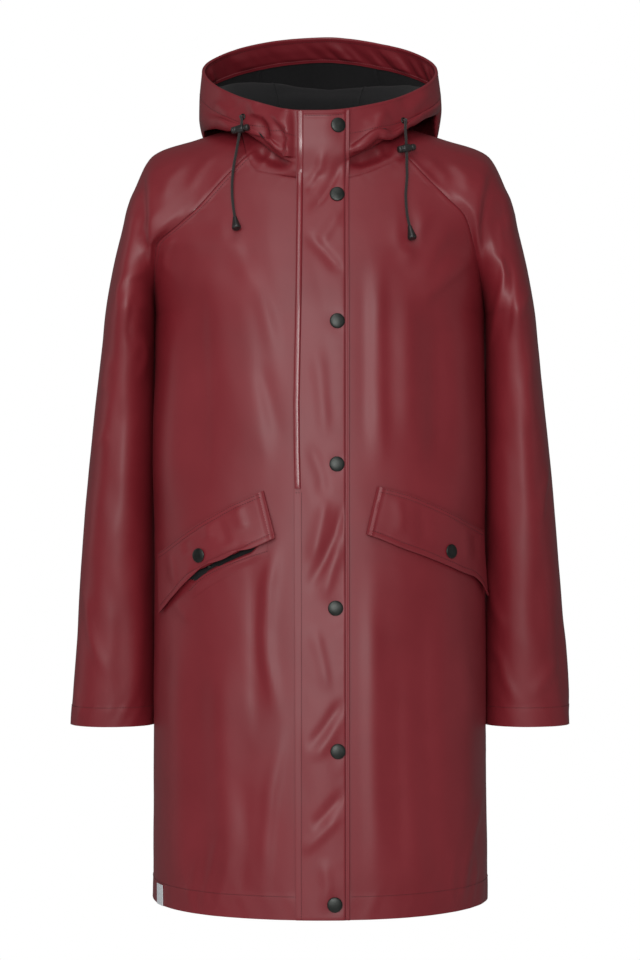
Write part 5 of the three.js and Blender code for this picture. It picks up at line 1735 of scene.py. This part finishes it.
def swapped(grid):
    return np.swapaxes(grid, 0, 1)


coatLines = []
for name in ("frontLeft", "frontRight", "back"):
    points, normals = panels[name]
    levels = bodyLevels[:, None] + 0 * points[..., 0]
    coatLines.append(onGrid(swapped(points), swapped(normals), swapped(levels), hem + hemStitch))
    across = lengthAcross(points)
    for stitchAt in raglanStitches:
        if name in ("frontLeft", "back"):
            coatLines.append(onGrid(points, normals, across, stitchAt, bodyLevels > underarm + 4))
        if name in ("frontRight", "back"):
            fromEnd = across[:, -1:] - across
            coatLines.append(onGrid(points, normals, fromEnd, stitchAt, bodyLevels > underarm + 4))
for name in ("sleeveLeft", "sleeveRight"):
    points, normals = panels[name]
    levels = sleeveLevels[:, None] + 0 * points[..., 0]
    coatLines.append(onGrid(swapped(points), swapped(normals), swapped(levels), cuff + cuffStitch))
stitchLines("coatSewing", coatLines, "darkThread")

fromEdge = lengthUp(hoodPoints)[-1:] - lengthUp(hoodPoints)
hoodLines = [onGrid(swapped(hoodPoints), swapped(hoodNormals), swapped(fromEdge), hood["hemStitch"])]
across = lengthAcross(hoodPoints)
for column in (stripFrom, stripTo):
    for way in (-1, 1):
        at = across[:, column : column + 1] + way * hood["stripStitch"]
        hoodLines.append(onGrid(hoodPoints, hoodNormals, across - at, 0, hoodRows > 3.4))
stitchLines("hoodSewing", hoodLines, "darkThread")
facingUp = lengthUp(facingInner)
facingGrid = swapped(facingInner), swapped(facingNormals)
paleLines = [onGrid(*facingGrid, swapped(facingUp), facing["stitchAt"])]
rimLines = [onGrid(*facingGrid, swapped(facingUp[-1:] - facingUp), facing["rimStitch"])]
stitchLines("rimSewing", rimLines, "darkThread")

placketAcross, placketUp = lengthAcross(placketPoints), lengthUp(placketPoints)
turned = swapped(placketPoints), swapped(placketNormals)
fromRight, fromTop = placketAcross[:, -1:] - placketAcross, swapped(placketUp[-1:] - placketUp)
belowWelt = placketPoints[:, 0, 2] < welt["bottom"]
flapLines = [
    onGrid(placketPoints, placketNormals, fromRight, placket["edgeStitch"], slice(0, -4)),
    onGrid(*turned, fromTop, placket["topStitch"], slice(6, -8)),
    onGrid(placketPoints, placketNormals, placketPoints[..., 0], placket["leftStitch"], belowWelt),
]
# across the foot of the welt
lowest = swapped(placketPoints[:200]), swapped(placketNormals[:200])
flapLines.append(onGrid(*lowest, lowest[0][..., 2] - (welt["bottom"] - 1), 0, slice(1, 6)))
for face, normals, edges in flapFaces.values():
    turned = swapped(face), swapped(normals)
    flapLines.append(onGrid(*turned, swapped(edges["lower"]), flaps["edgeStitch"], slice(2, -2)))
    for at in flaps["upperStitches"]:
        flapLines.append(onGrid(*turned, swapped(edges["upper"]), at, slice(2, -2)))
    paleLines.append(onGrid(face, normals, edges["inner"], flaps["endStitch"]))
turned = swapped(lipFace), swapped(lipNormals)
fromMouth = swapped(lengthUp(lipFace)[-1:] - lengthUp(lipFace))
flapLines.append(onGrid(*turned, fromMouth, flaps["lipAt"] + flaps["lipStitch"]))
stitchLines("flapSewing", flapLines, "darkThread")
stitchLines("paleSewing", paleLines, "paleThread")
print("sewing made")


# Lights, background and floor

# name, place, the spot it points at, width and height, and power
lights = [
    ("key", (-0.6, -3.0, 1.3), (-0.02, 0.0, -0.3), (0.9, 1.4), 20),
    ("front", (-0.05, -3.3, 0.05), (0.0, 0.0, -0.3), (0.7, 0.9), 38),
    ("leftFill", (-1.7, -2.6, 0.1), (-0.1, 0.0, -0.45), (1.3, 2.0), 13),
    ("rightFill", (1.3, -3.0, 0.2), (0.0, 0.0, -0.45), (1.2, 2.0), 6),
    ("top", (-0.2, -1.5, 2.4), (0.0, 0.0, -0.1), (1.6, 1.2), 15),
    ("leftSide", (-2.6, 0.5, 0.1), (-0.2, 0.0, -0.45), (0.8, 2.2), 5),
    ("rightSide", (2.9, -0.3, 0.0), (0.2, 0.0, -0.45), (0.8, 2.0), 2),
]
for name, place, target, size, power in lights:
    data = bpy.data.lights.new(name, "AREA")
    data.shape = "RECTANGLE"
    data.size, data.size_y = size
    data.energy = power
    lamp = bpy.data.objects.new(name, data)
    lamp.location = place
    lamp.rotation_euler = (Vector(target) - Vector(place)).to_track_quat("-Z", "Y").to_euler()
    bpy.context.collection.objects.link(lamp)

world = bpy.data.worlds.new("studio")
bpy.context.scene.world = world
world.use_nodes = True
nodes, links = world.node_tree.nodes, world.node_tree.links
background = nodes["Background"]
background.inputs["Color"].default_value = (1, 1, 1, 1)
lit = nodes.new("ShaderNodeLightPath").outputs["Is Camera Ray"]
strength = nodes.new("ShaderNodeMapRange")
strength.inputs["To Min"].default_value = 0.16
strength.inputs["To Max"].default_value = 1.0
links.new(lit, strength.inputs["Value"])
links.new(strength.outputs["Result"], background.inputs["Strength"])

floorMesh = bpy.data.meshes.new("floor")
bm = bmesh.new()
below = Matrix.Translation((0, 0, -1.42))
bmesh.ops.create_circle(bm, cap_ends=True, segments=96, radius=2.2, matrix=below)
bm.to_mesh(floorMesh)
bm.free()
floor = bpy.data.objects.new("floor", floorMesh)
bpy.context.collection.objects.link(floor)
floorLook = {"Roughness": 0.8, "Base Color": (0.86, 0.86, 0.86, 1)}
floorMesh.materials.append(newMaterial("paleFloor", floorLook)[0])
bpy.context.scene.view_settings.view_transform = "Standard"
